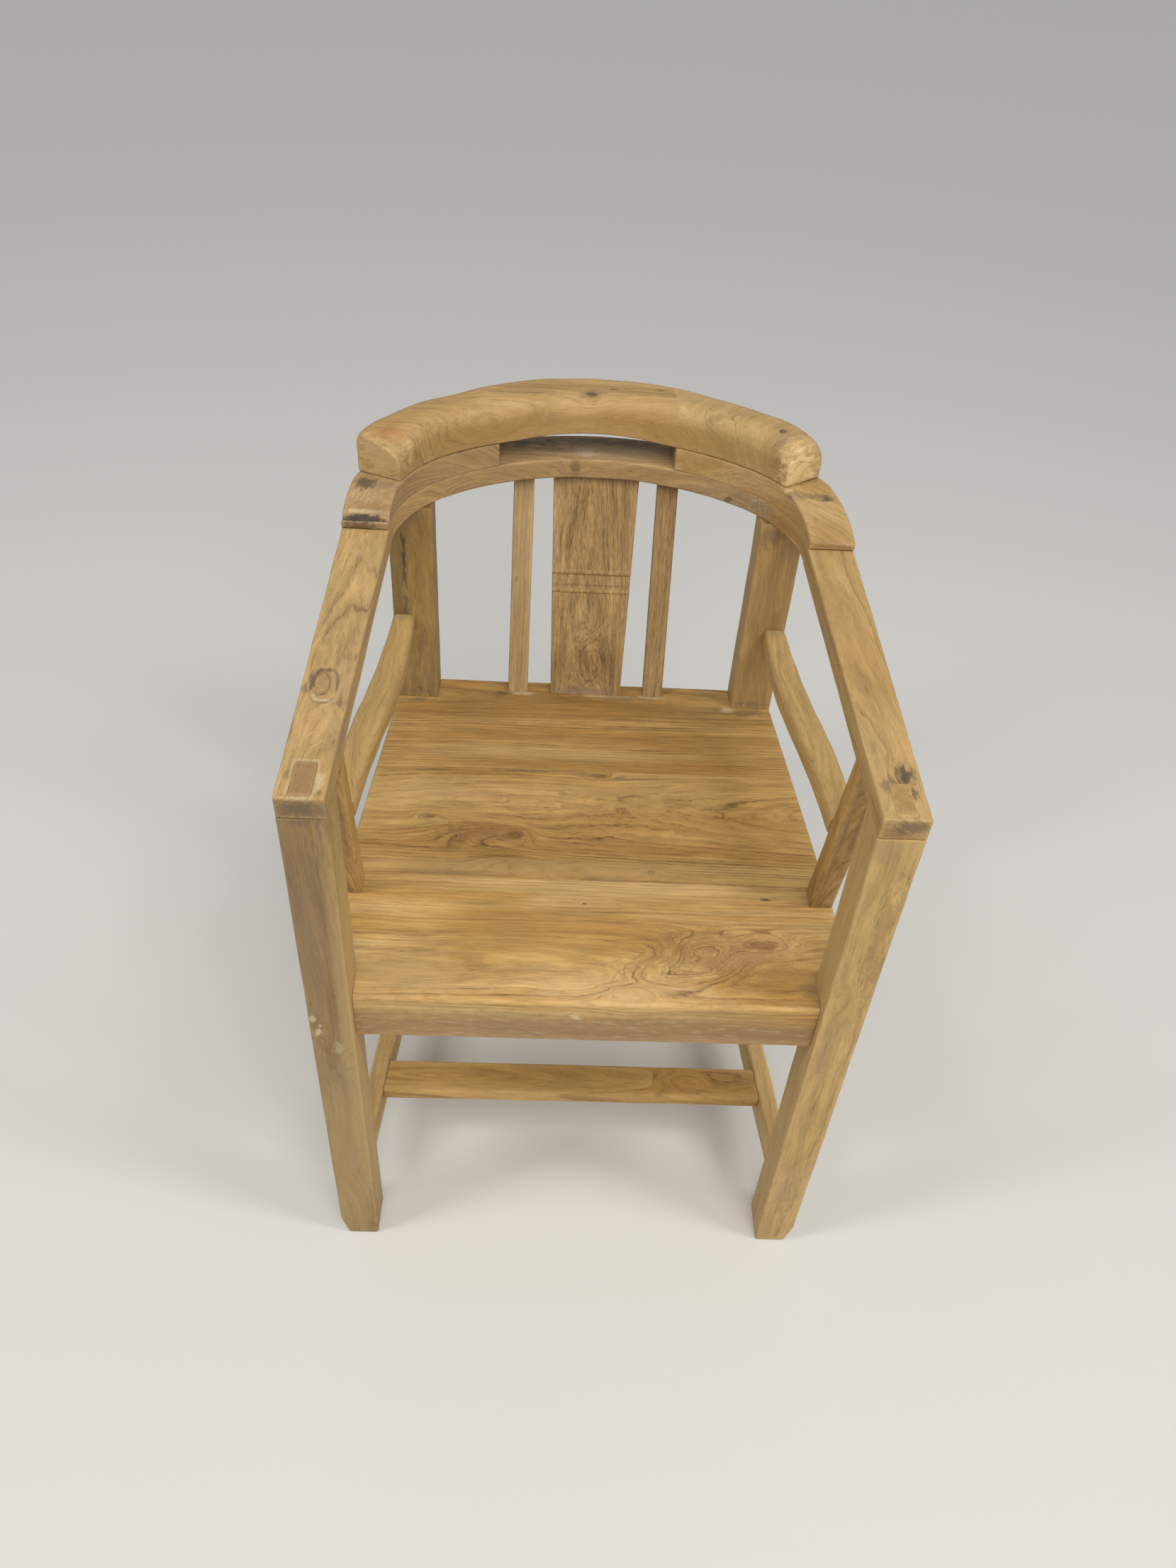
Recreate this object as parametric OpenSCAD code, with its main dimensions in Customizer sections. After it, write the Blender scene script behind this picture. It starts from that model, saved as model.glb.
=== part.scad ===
// Rustic elm armchair. A horseshoe ring of two arms and a bow stands on four posts,
// and carries two shoulder blocks and a thick crest rail with a hand slot under it.
// Seen from the front, +X is right, +Y is back and +Z is up. The origin is on the
// floor, in the middle of the chair's own box. Left and right are the viewer's.

/* [Legs and posts] */
// Width over the outer faces of the front legs
frame_w = 580; // [560:5:600]
// Width of a front leg
leg_w = 46; // [44:1:50]
// Depth of a front leg
leg_d = 50; // [46:1:54]
// Width of a rear post
post_w = 55; // [50:1:56]
// Depth of a rear post
post_d = 42; // [40:1:44]
// Gap between the two rear posts
post_gap = 398; // [394:2:404]
// Distance from the legs' front faces to the rear posts' front faces
post_y = 523; // [515:1:530]

/* [Seat] */
// Height of the seat's top
seat_h = 470; // [430:5:490]
// Thickness of the seat planks
seat_t = 64; // [50:1:70]
// How far the seat's front edge sits behind the legs' front faces
seat_recess = 11; // [4:1:14]
// Joint between the front and the middle plank
front_joint_y = 188; // [186:1:200]
// Joint between the middle and the rear plank
rear_joint_y = 380; // [340:5:420]

/* [Arms and bow] */
// Height of the arms' top at the front
arm_h = 757; // [740:1:770]
// Rise of the arms towards the back, in degrees
arm_slope = 2.3; // [1.5:0.1:3]
// Thickness of the arms and the bow
ring_t = 26; // [24:1:30]
// Width of the ring behind the sitter
ring_w = 54; // [50:1:58]
// Extra width of the ring in the middle, on its outer side
bow_swell = 9; // [0:1:12]
// Inner radius of the ring's two corners
corner_r = 145; // [140:1:150]
// How far the arms draw in towards the back
toe_in = 6; // [0:1:8]
// Where the straight arms end and the corners begin
corner_y = 437; // [430:1:445]
// Where each arm meets the bow, as an angle round the corner
joint_a = 50; // [48:1:52]

/* [Shoulder blocks and crest] */
// Thickness of the shoulder blocks
block_t = 28; // [24:1:34]
// Thickness left at the blocks' front ends
block_tip = 10; // [6:1:14]
// Where the blocks' front ends stand
block_y = 430; // [425:1:436]
// Left end of the hand slot, from the middle
slot_left = 122; // [100:1:125]
// Right end of the hand slot, from the middle
slot_right = 94; // [90:1:125]
// Height of the crest rail
crest_h = 52; // [44:1:60]
// Width of the crest rail beside the sitter, before it swells
crest_w = 50; // [40:1:54]
// Extra width of the crest rail in the middle
crest_swell = 13; // [6:1:20]
// Bevel along the crest's top edges
crest_bevel = 16; // [6:1:18]
// How far the crest's underside is hollowed over the hand slot
crest_hollow = 5; // [1:1:8]
// Where the crest's left end is cut, as an angle round the corner
crest_left_a = 21; // [18:1:28]
// Where the crest's right end is cut
crest_right_a = 32; // [20:1:34]

/* [Back] */
// Distance from the legs' front faces to the splat's front face at the seat
splat_y = 540; // [538:1:544]
// Width of the splat at the seat
splat_low_w = 95; // [90:1:106]
// Width of the splat at the bow
splat_high_w = 110; // [100:1:116]
// Thickness of the splat
splat_t = 15; // [12:1:16]
// Middle of each narrow slat
slat_x = 92; // [88:1:96]
// Width of a narrow slat
slat_w = 27; // [22:1:30]
// Thickness of a narrow slat
slat_t = 18; // [14:1:19]
// Lean of the back, in degrees
back_lean = 16; // [14:0.5:17]

/* [Arm posts and side rails] */
// Width of an arm post
arm_post_w = 28; // [26:1:34]
// Depth of an arm post
arm_post_d = 26; // [22:1:28]
// Middle of the arm post's foot on the seat
arm_post_y = 170; // [166:1:172]
// Lean of the arm posts towards the front, in degrees
arm_post_lean = 10.6; // [8:0.2:12]
// Width of a side rail at its ends
side_rail_w = 28; // [24:1:30]
// Extra width of a side rail in the middle, on its outer side
side_rail_bulge = 9; // [0:1:10]
// Height of a side rail
side_rail_h = 30; // [26:1:34]
// Height of the side rail's middle line
side_rail_z = 595; // [580:1:610]
// How far the side rail bellies inwards
side_rail_belly = 7; // [0:1:8]
// How far the side rail waves up and down
side_rail_wave = 4; // [0:1:8]
// How much lower the side rail meets the rear post
side_rail_drop = 8; // [0:1:10]

/* [Stretchers] */
// Height of the stretchers' tops
stretcher_z = 118; // [90:1:140]
// Width of a side stretcher
side_stretcher_w = 24; // [20:1:28]
// Height of a side stretcher
side_stretcher_h = 45; // [36:1:50]
// Width of the cross stretcher's top
cross_w = 48; // [40:1:52]
// Thickness of the cross stretcher
cross_t = 20; // [16:1:24]
// Middle of the cross stretcher
cross_y = 159; // [140:1:240]

/* [Hidden] */
$fn = 96;

pale_elm = "#cdb07a";
honey_elm = "#c39a5c";
red_elm = "#b5834f";
grey_elm = "#a58f6d";
peg_elm = "#8f6f45";

// Legs and posts
leg_out = frame_w / 2;
leg_in = leg_out - leg_w;
leg_x = leg_out - leg_w / 2;
post_in = post_gap / 2;
post_x = post_in + post_w / 2;
foot_cut = 8;
foot_cut_h = 34;

// Horseshoe: each corner arc runs on into the back arc along the 3-4-5 line
// through both centres, so the back arc's radius is 5/3 of corner_x larger.
corner_x = leg_in - toe_in - corner_r;
back_arc_y = corner_y - corner_x * 4 / 3;
back_arc_more = corner_x * 5 / 3;
tangent_a = atan2(4, 3);
ring_out_r = corner_r + ring_w;
far = 600;

// Crest
crest_in_r = corner_r + 2;
crest_out_r = crest_in_r + crest_w;
crest_top = block_t + crest_h;
crest_back_y = back_arc_y + crest_swell + crest_out_r + back_arc_more;
chair_d = crest_back_y * cos(arm_slope) - block_t * sin(arm_slope);

// Underside of the ring, and where a leaning line from the seat meets it
slope_k = tan(arm_slope);
under_h = arm_h - ring_t / cos(arm_slope);
function meet_y(y, k) = (y + k * (under_h - seat_h)) / (1 - k * slope_k);
function ring_y(y) = y / cos(arm_slope) - ring_t * slope_k;

// Joinery: tenon thickness, width and depth
leg_tenon = [19, 42];
leg_tenon_y = 4;
post_tenon = [28, 26, 18];
post_tenon_at = [212, 533];
seat_tenon = [20, 18, 26];
back_tenon_t = 7;
back_tenon_h = 14;
rail_tenon = [12, 16];
rail_tenon_d = 12;
stretcher_tenon = [11, 22, 28];
cross_tenon = [14, 26, 9];
tongue = [30, 12];
tongue_stop = 45;
dowel_d = 8;
dowel_l = 50;
dowel_rows = [14, 38];
peg_d = 10;
peg_left = [226, 541];
peg_right = [212, 556];
peg_in_post = 20;

// The seat's sides run from the front legs' outer faces to the rear posts' outer faces
function seat_side_x(y) = leg_out + (post_in + post_w - leg_out) * (y - leg_d) / (post_y - leg_d);
function stretcher_x(y) = leg_x + (post_x - leg_x) * (y - leg_d) / (post_y - leg_d);

// Side rail's middle line, from the rear post (t = 0) to the arm post (t = 1)
rail_steps = 24;
rail_front_y = arm_post_y - 30;
rail_x0 = post_in + post_w - side_rail_w / 2;
rail_x1 = leg_out - 9 - arm_post_w / 2;
function rail_y(t) = post_y + (rail_front_y - post_y) * t;
function rail_x(t) = rail_x0 + (rail_x1 - rail_x0) * t - side_rail_belly * 1.6 * sin(180 * t) * (1 - t);
function rail_z(t) = side_rail_z - side_rail_wave * sin(360 * t) - side_rail_drop * (1 - t) ^ 2;

// ---- Frames of reference -------------------------------------------------

// Y measured from the legs' front faces
module chair() translate([0, -chair_d / 2, 0]) children();

// Plane of the arms' tops, which rises towards the back
module ring_plane() translate([0, 0, arm_h]) rotate([arm_slope, 0, 0]) children();

module both_sides() for (s = [0, 1]) mirror([s, 0, 0]) children();

module left() mirror([1, 0, 0]) children();

// Everything above the underside of the ring
module above_ring_underside()
    ring_plane() translate([-far, -far, -ring_t]) cube([2 * far, 3 * far, far]);

module below_seat_top()
    translate([-far, -far, seat_h - far]) cube([2 * far, 3 * far, far]);

// An outline in Y and Z, drawn out along X
module along_x(x0, x1)
    translate([x0, 0, 0]) rotate([90, 0, 90]) linear_extrude(x1 - x0) children();

// ---- Horseshoe outlines --------------------------------------------------

// Both corners and the back of the horseshoe at radius r from the corner centres
module horseshoe_back(r) {
    for (s = [-1, 1])
        translate([s * corner_x, corner_y]) circle(r);
    intersection() {
        translate([0, back_arc_y]) circle(r + back_arc_more);
        translate([0, back_arc_y]) polygon([[0, 0], [3 * 200, 4 * 200], [-3 * 200, 4 * 200]]);
    }
}

// All that lies inside the horseshoe line at radius r
module horseshoe(r, front_half) {
    horseshoe_back(r);
    polygon([[-front_half, 0], [front_half, 0], [corner_x + r, corner_y], [-corner_x - r, corner_y]]);
}

module ring_outline()
    difference() {
        union() {
            horseshoe(ring_out_r, leg_out);
            translate([0, bow_swell]) horseshoe_back(ring_out_r);
        }
        horseshoe(corner_r, leg_in);
        translate([-leg_in, -1]) square([2 * leg_in, 2]);
    }

// The part of the ring that belongs to the right arm
module arm_sector()
    polygon([
        [corner_x, -10], [far, -10], [far, corner_y],
        [corner_x + far * cos(joint_a), corner_y + far * sin(joint_a)], [corner_x, corner_y]
    ]);

module bow_sector()
    polygon([
        [corner_x, corner_y], [corner_x + far * cos(joint_a), corner_y + far * sin(joint_a)],
        [-corner_x - far * cos(joint_a), corner_y + far * sin(joint_a)], [-corner_x, corner_y]
    ]);

// ---- Joinery, each shape used by both pieces of its joint ----------------

module leg_top_tenon()
    ring_plane() translate([leg_x - leg_tenon.x / 2, leg_tenon_y, -ring_t - 10])
        cube([leg_tenon.x, leg_tenon.y, ring_t + 10]);

module post_top_tenon()
    ring_plane() translate([post_tenon_at.x, post_tenon_at.y, -ring_t - 10])
        cube([post_tenon.x, post_tenon.y, post_tenon.z + 10]);

module seat_to_leg_tenon()
    translate([leg_in - 5, leg_d - 12 - seat_tenon.y, seat_h - seat_t / 2 - seat_tenon.z / 2])
        cube([seat_tenon.x + 5, seat_tenon.y, seat_tenon.z]);

module seat_to_post_tenon()
    translate([post_in - 5, post_y + 12, seat_h - seat_t / 2 - seat_tenon.z / 2])
        cube([seat_tenon.x + 5, seat_tenon.y, seat_tenon.z]);

module arm_post_tenons() {
    translate([rail_x1 - 9, arm_post_y - 6, seat_h - 25]) cube([18, 12, 30]);
    ring_plane() translate([rail_x1 - 9, ring_y(meet_y(arm_post_y, -tan(arm_post_lean))) - 6, -ring_t - 6])
        cube([18, 12, back_tenon_h + 6]);
}

module rail_tenons() {
    translate([rail_x0 - rail_tenon.x / 2, post_y - 5, side_rail_z - side_rail_drop - rail_tenon.y / 2])
        cube([rail_tenon.x, 5 + rail_tenon_d, rail_tenon.y]);
    translate([rail_x1 - rail_tenon.x / 2, arm_post_y - 23, side_rail_z - rail_tenon.y / 2])
        cube([rail_tenon.x, 20, rail_tenon.y]);
}

module stretcher_tenons() {
    for (end = [[leg_x, leg_d - stretcher_tenon.y], [post_x, post_y - 2]])
        translate([end.x - stretcher_tenon.x / 2, end.y, stretcher_z - side_stretcher_h / 2 - stretcher_tenon.z / 2])
            cube([stretcher_tenon.x, stretcher_tenon.y + 2, stretcher_tenon.z]);
}

module cross_tenon_right()
    translate([
        stretcher_x(cross_y) - side_stretcher_w / 2 - 4, cross_y - cross_tenon.y / 2,
        stretcher_z - cross_t / 2 - cross_tenon.z / 2
    ]) cube([cross_tenon.x + 4, cross_tenon.y, cross_tenon.z]);

// Tenons at the foot and the head of one board of the back
module back_tenons(x, w, t) {
    top_y = ring_y(meet_y(splat_y + t / 2 / cos(back_lean), tan(back_lean)));
    translate([x - w / 2, splat_y + t / 2 - back_tenon_t / 2, seat_h - 20]) cube([w, back_tenon_t, 24]);
    ring_plane() translate([x - w / 2, top_y - back_tenon_t / 2, -ring_t - 5])
        cube([w, back_tenon_t, back_tenon_h + 5]);
}

module splat_tenons() back_tenons(0, splat_low_w - 24, splat_t);
module slat_tenons() both_sides() back_tenons(slat_x, slat_w - 9, slat_t);

module bow_dowel_set()
    ring_plane() both_sides() translate([corner_x, corner_y, -ring_t / 2]) rotate([0, 0, joint_a])
        for (r = dowel_rows) translate([corner_r + r, 0, 0]) rotate([90, 0, 0])
            cylinder(d = dowel_d, h = dowel_l, center = true);

// at is given on the right of the chair, for the left peg too
module crest_peg(at)
    ring_plane() translate([at.x, at.y, -ring_t - peg_in_post])
        cylinder(d = peg_d, h = ring_t + peg_in_post + crest_top);

module crest_peg_set() {
    left() crest_peg(peg_left);
    crest_peg(peg_right);
}

module tongue_set()
    for (y = [front_joint_y, rear_joint_y])
        translate([-seat_side_x(y) + tongue_stop, y - tongue.x / 2, seat_h - seat_t / 2 - tongue.y / 2])
            cube([2 * (seat_side_x(y) - tongue_stop), tongue.x, tongue.y]);

// ---- Legs and posts --------------------------------------------------------

module front_leg_shape()
    difference() {
        union() {
            difference() {
                translate([0, leg_d, 0]) rotate([90, 0, 0]) linear_extrude(leg_d)
                    polygon([
                        [leg_in, 0], [leg_out - foot_cut, 0], [leg_out, foot_cut_h],
                        [leg_out, arm_h + 50], [leg_in, arm_h + 50]
                    ]);
                above_ring_underside();
            }
            leg_top_tenon();
        }
        seat_to_leg_tenon();
        stretcher_tenons();
    }

module rear_post_shape(peg)
    difference() {
        union() {
            difference() {
                translate([post_in, post_y, 0]) cube([post_w, post_d, arm_h + 80]);
                above_ring_underside();
            }
            post_top_tenon();
        }
        seat_to_post_tenon();
        stretcher_tenons();
        rail_tenons();
        crest_peg(peg);
    }

module front_leg_left() color(grey_elm) chair() left() front_leg_shape();
module front_leg_right() color(pale_elm) chair() front_leg_shape();
module rear_post_left() color(grey_elm) chair() left() rear_post_shape(peg_left);
module rear_post_right() color(honey_elm) chair() rear_post_shape(peg_right);

// ---- Seat --------------------------------------------------------------------

module plank() translate([0, 0, seat_h - seat_t]) linear_extrude(seat_t) children();

module seat_board_front()
    color(honey_elm) chair() difference() {
        union() {
            plank() polygon([
                [-leg_in, seat_recess], [leg_in, seat_recess], [leg_in, leg_d], [leg_out, leg_d],
                [seat_side_x(front_joint_y), front_joint_y], [-seat_side_x(front_joint_y), front_joint_y],
                [-leg_out, leg_d], [-leg_in, leg_d]
            ]);
            both_sides() seat_to_leg_tenon();
        }
        tongue_set();
        both_sides() arm_post_tenons();
    }

module seat_board_middle()
    color(honey_elm) chair() difference() {
        plank() polygon([
            [-seat_side_x(front_joint_y), front_joint_y], [seat_side_x(front_joint_y), front_joint_y],
            [seat_side_x(rear_joint_y), rear_joint_y], [-seat_side_x(rear_joint_y), rear_joint_y]
        ]);
        tongue_set();
    }

module seat_board_rear()
    color(honey_elm) chair() difference() {
        union() {
            plank() polygon([
                [-seat_side_x(rear_joint_y), rear_joint_y], [seat_side_x(rear_joint_y), rear_joint_y],
                [seat_side_x(post_y), post_y], [post_in, post_y], [post_in, post_y + post_d],
                [-post_in, post_y + post_d], [-post_in, post_y], [-seat_side_x(post_y), post_y]
            ]);
            both_sides() seat_to_post_tenon();
        }
        tongue_set();
        splat_tenons();
        slat_tenons();
    }

module seat_tongues() color(peg_elm) chair() tongue_set();

// ---- Arms and bow ------------------------------------------------------------

module ring_slab()
    ring_plane() translate([0, 0, -ring_t]) linear_extrude(ring_t)
        intersection() {
            ring_outline();
            children();
        }

module arm_shape(peg)
    difference() {
        ring_slab() arm_sector();
        leg_top_tenon();
        post_top_tenon();
        arm_post_tenons();
        bow_dowel_set();
        crest_peg(peg);
    }

module arm_left() color(honey_elm) chair() left() arm_shape(peg_left);
module arm_right() color(honey_elm) chair() arm_shape(peg_right);

module back_bow()
    color(red_elm) chair() difference() {
        ring_slab() bow_sector();
        bow_dowel_set();
        splat_tenons();
        slat_tenons();
    }

module bow_dowels() color(peg_elm) chair() bow_dowel_set();

// ---- Shoulder blocks and crest -----------------------------------------------

// Block on the right: its top slopes down in front of the crest's end
module shoulder_block_shape(slot_x, crest_end_a, peg) {
    slope_y = corner_y + corner_r * sin(crest_end_a);
    difference() {
        ring_plane() difference() {
            linear_extrude(block_t) intersection() {
                ring_outline();
                translate([slot_x, block_y]) square([far, far]);
            }
            along_x(slot_x - 1, far) polygon([
                [block_y - 1, block_tip], [block_y, block_tip], [slope_y, block_t],
                [slope_y, block_t + 20], [block_y - 1, block_t + 20]
            ]);
        }
        crest_peg(peg);
    }
}

module shoulder_block_left()
    color(grey_elm) chair() left() shoulder_block_shape(slot_left, crest_left_a, peg_left);
module shoulder_block_right()
    color(pale_elm) chair() shoulder_block_shape(slot_right, crest_right_a, peg_right);

// A profile of radius and height, swept round both corners and the back arc.
// Child 0 is for the corners and child 1 for the back arc. One of them runs a
// little past the line where they meet, hidden inside the other.
module swept(right_a, left_a, corner_more, back_more) {
    end_a = tangent_a + corner_more;
    translate([corner_x, corner_y, 0])
        rotate_extrude(angle = end_a - right_a, start = right_a) children(0);
    translate([0, back_arc_y, 0])
        rotate_extrude(angle = 180 - 2 * tangent_a + 2 * back_more, start = tangent_a - back_more)
            children(1);
    translate([-corner_x, corner_y, 0])
        rotate_extrude(angle = end_a - left_a, start = 180 - end_a) children(0);
}

module outer_profile(r)
    polygon([
        [r - 120, block_t], [r, block_t], [r, crest_top - crest_bevel],
        [r - crest_bevel, crest_top], [r - 120, crest_top]
    ]);

module inner_profile(r)
    polygon([
        [r, block_t], [r + 120, block_t], [r + 120, crest_top],
        [r + crest_bevel, crest_top], [r, crest_top - crest_bevel]
    ]);

// Shallow arch cut from the crest's underside, between the ends of the hand slot
module hand_hollow() {
    half = (slot_left + slot_right) / 2;
    hollow_r = (half ^ 2 + crest_hollow ^ 2) / (2 * crest_hollow);
    ring_plane() translate([(slot_right - slot_left) / 2, corner_y, block_t + crest_hollow - hollow_r])
        rotate([-90, 0, 0]) cylinder(r = hollow_r, h = far, $fn = 720);
}

module crest_rail()
    color(honey_elm) chair() difference() {
        ring_plane() intersection() {
            translate([0, crest_swell, 0]) swept(0, 0, 2, 0) {
                outer_profile(crest_out_r);
                outer_profile(crest_out_r + back_arc_more);
            }
            swept(crest_right_a, crest_left_a, 0, 2) {
                inner_profile(crest_in_r);
                inner_profile(crest_in_r + back_arc_more);
            }
        }
        crest_peg_set();
        hand_hollow();
    }

module crest_pegs() color(peg_elm) chair() crest_peg_set();

// ---- Back boards -------------------------------------------------------------

// A board that leans back from the seat to the ring's underside
module back_board(x, low_w, high_w, t)
    difference() {
        translate([x, splat_y, seat_h]) rotate([-back_lean, 0, 0])
            translate([0, t, 0]) rotate([90, 0, 0]) linear_extrude(t)
                polygon([[-low_w / 2, -20], [low_w / 2, -20], [high_w / 2, 330], [-high_w / 2, 330]]);
        above_ring_underside();
        below_seat_top();
    }

// Two raised beads with a sunk strip between them, across the splat's face
bead_low = 147;
bead_high = 172;
bead_r = 3;

module splat_beads()
    translate([0, splat_y, seat_h]) rotate([-back_lean, 0, 0])
        for (z = [bead_low, bead_high]) translate([0, bead_r - 1.5, z]) rotate([0, 90, 0])
            cylinder(r = bead_r, h = splat_low_w + 4, center = true);

module splat_strip()
    translate([0, splat_y, seat_h]) rotate([-back_lean, 0, 0])
        translate([-far / 2, -5, bead_low + bead_r]) cube([far, 6, bead_high - bead_low - 2 * bead_r]);

module splat()
    color(red_elm) chair() {
        difference() {
            union() {
                back_board(0, splat_low_w, splat_high_w, splat_t);
                splat_beads();
            }
            splat_strip();
        }
        splat_tenons();
    }

module slat_shape() {
    back_board(slat_x, slat_w, slat_w, slat_t);
    back_tenons(slat_x, slat_w - 9, slat_t);
}

module slat_left() color(honey_elm) chair() left() slat_shape();
module slat_right() color(red_elm) chair() slat_shape();

// ---- Arm posts and side rails --------------------------------------------------

module arm_post_stick(extra = 0)
    translate([rail_x1, arm_post_y, seat_h]) rotate([arm_post_lean, 0, 0])
        translate([-arm_post_w / 2 - extra, -arm_post_d / 2 - extra, -20])
            cube([arm_post_w + 2 * extra, arm_post_d + extra, 340]);

module arm_post_shape()
    difference() {
        union() {
            difference() {
                arm_post_stick();
                above_ring_underside();
                below_seat_top();
            }
            arm_post_tenons();
        }
        rail_tenons();
    }

module arm_post_left() color(red_elm) chair() left() arm_post_shape();
module arm_post_right() color(red_elm) chair() arm_post_shape();

// Plan and elevation of the wavy rail, each the strip between two edge lines
module strip(edge_a, edge_b)
    polygon(concat(edge_a, [for (i = [len(edge_b) - 1:-1:0]) edge_b[i]]));

module side_rail_shape() {
    steps = [for (i = [0:rail_steps]) i / rail_steps];
    half_w = side_rail_w / 2;
    half_h = side_rail_h / 2;
    difference() {
        intersection() {
            translate([0, 0, side_rail_z - 60]) linear_extrude(120) strip(
                [for (t = steps) [rail_x(t) - half_w, rail_y(t)]],
                [for (t = steps) [rail_x(t) + half_w + side_rail_bulge * sin(180 * t), rail_y(t)]]
            );
            along_x(post_in - 40, leg_out + 20) strip(
                [for (t = steps) [rail_y(t), rail_z(t) - half_h]],
                [for (t = steps) [rail_y(t), rail_z(t) + half_h]]
            );
        }
        arm_post_stick(40);
    }
    rail_tenons();
}

module side_rail_left() color(honey_elm) chair() left() side_rail_shape();
module side_rail_right() color(honey_elm) chair() side_rail_shape();

// ---- Stretchers ----------------------------------------------------------------

module side_stretcher_shape() {
    half = side_stretcher_w / 2;
    difference() {
        translate([0, 0, stretcher_z - side_stretcher_h]) linear_extrude(side_stretcher_h)
            polygon([
                [leg_x - half, leg_d], [leg_x + half, leg_d],
                [post_x + half, post_y], [post_x - half, post_y]
            ]);
        cross_tenon_right();
    }
    stretcher_tenons();
}

module side_stretcher_left() color(honey_elm) chair() left() side_stretcher_shape();
module side_stretcher_right() color(pale_elm) chair() side_stretcher_shape();

module cross_stretcher() {
    y0 = cross_y - cross_w / 2;
    y1 = cross_y + cross_w / 2;
    half = side_stretcher_w / 2;
    color(honey_elm) chair() {
        translate([0, 0, stretcher_z - cross_t]) linear_extrude(cross_t)
            polygon([
                [half - stretcher_x(y0), y0], [stretcher_x(y0) - half, y0],
                [stretcher_x(y1) - half, y1], [half - stretcher_x(y1), y1]
            ]);
        both_sides() cross_tenon_right();
    }
}

front_leg_left();
front_leg_right();
rear_post_left();
rear_post_right();
seat_board_front();
seat_board_middle();
seat_board_rear();
seat_tongues();
arm_left();
arm_right();
back_bow();
bow_dowels();
shoulder_block_left();
shoulder_block_right();
crest_rail();
crest_pegs();
splat();
slat_left();
slat_right();
arm_post_left();
arm_post_right();
side_rail_left();
side_rail_right();
side_stretcher_left();
side_stretcher_right();
cross_stretcher();
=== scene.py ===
from math import acos, atan2, ceil, cos, degrees, exp, hypot, pi, radians, sin, sqrt, tan

import bmesh
import bpy
from mathutils import Matrix, Vector, noise


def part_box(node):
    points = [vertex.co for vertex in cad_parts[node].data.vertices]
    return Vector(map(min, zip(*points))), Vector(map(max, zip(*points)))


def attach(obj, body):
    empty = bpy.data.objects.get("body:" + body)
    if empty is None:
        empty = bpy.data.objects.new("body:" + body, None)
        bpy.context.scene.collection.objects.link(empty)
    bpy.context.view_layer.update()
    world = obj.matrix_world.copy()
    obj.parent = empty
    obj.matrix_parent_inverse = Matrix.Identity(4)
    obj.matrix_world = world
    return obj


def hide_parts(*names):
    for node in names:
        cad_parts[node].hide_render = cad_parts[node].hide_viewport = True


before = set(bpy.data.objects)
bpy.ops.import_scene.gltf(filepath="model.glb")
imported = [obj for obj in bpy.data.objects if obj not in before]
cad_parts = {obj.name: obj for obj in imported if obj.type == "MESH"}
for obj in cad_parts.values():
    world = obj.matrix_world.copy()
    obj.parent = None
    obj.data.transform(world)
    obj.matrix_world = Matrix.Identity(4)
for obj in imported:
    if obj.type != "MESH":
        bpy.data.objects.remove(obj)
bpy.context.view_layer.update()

scene = bpy.context.scene

# Lengths are in millimetres, and d is a distance behind the legs' front faces. The floor, the lamps,
# the camera's clipping and the depth of the bumps are in metres.
MM = 0.001


def box_mm(node):
    return [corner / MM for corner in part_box(node)]


leg_lo, leg_hi = box_mm("front_leg_right")
post_lo, post_hi = box_mm("rear_post_right")
seat_lo, seat_hi = box_mm("seat_board_front")
FRONT = leg_lo.y
LEG_IN, LEG_OUT, LEG_D = leg_lo.x, leg_hi.x, leg_hi.y - FRONT
POST_IN, POST_OUT = post_lo.x, post_hi.x
POST_D0, POST_D1 = post_lo.y - FRONT, post_hi.y - FRONT
SEAT_TOP, SEAT_LOW = seat_hi.z, seat_lo.z
SEAT_D0, SEAT_T = seat_lo.y - FRONT, SEAT_TOP - SEAT_LOW
JOINT_1 = box_mm("seat_board_middle")[0].y - FRONT
JOINT_2 = box_mm("seat_board_middle")[1].y - FRONT

# The tilted plane of the arms' tops, and the horseshoe drawn in it
ARM_H, SLOPE, RING_T = 757.0, radians(2.3), 26.0
CORNER_R, RING_W, BOW_SWELL, CORNER_D = 145.0, 54.0, 9.0, 437.0
TOE_IN = 6.0
CORNER_X = LEG_IN - TOE_IN - CORNER_R
BACK_D = CORNER_D - CORNER_X * 4 / 3
BACK_MORE = CORNER_X * 5 / 3
TANGENT = degrees(atan2(4, 3))
JOINT_A = 50.0
BLOCK_T, CREST_TOP = 28.0, 80.0
UNDER_H = ARM_H - RING_T / cos(SLOPE)
SLOPE_K = tan(SLOPE)
X, Y, Z = Vector((1, 0, 0)), Vector((0, 1, 0)), Vector((0, 0, 1))
RING_UP = Vector((0, -sin(SLOPE), cos(SLOPE)))
RING_BACK = Vector((0, cos(SLOPE), sin(SLOPE)))
# Directions along the grain, across it and out of the board
UPRIGHT, SIDEWAYS, FORE_AFT = (Z, X, -Y), (X, Y, Z), (Y, X, Z)
ALONG_ARM, ALONG_BACK = (RING_BACK, X, RING_UP), (X, RING_BACK, RING_UP)


def at(x, d, z):
    """A point by its place behind the legs' front faces, in the row frame."""
    return Vector((x, FRONT + d, z))


def on_seat(x, d, z=0.0):
    """A point given from the seat's top."""
    return at(x, d, SEAT_TOP + z)


def on_ring(x, y, z=0.0):
    """A point given in the tilted plane of the arms' tops."""
    return at(x, 0.0, ARM_H) + RING_BACK * y + RING_UP * z


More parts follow.
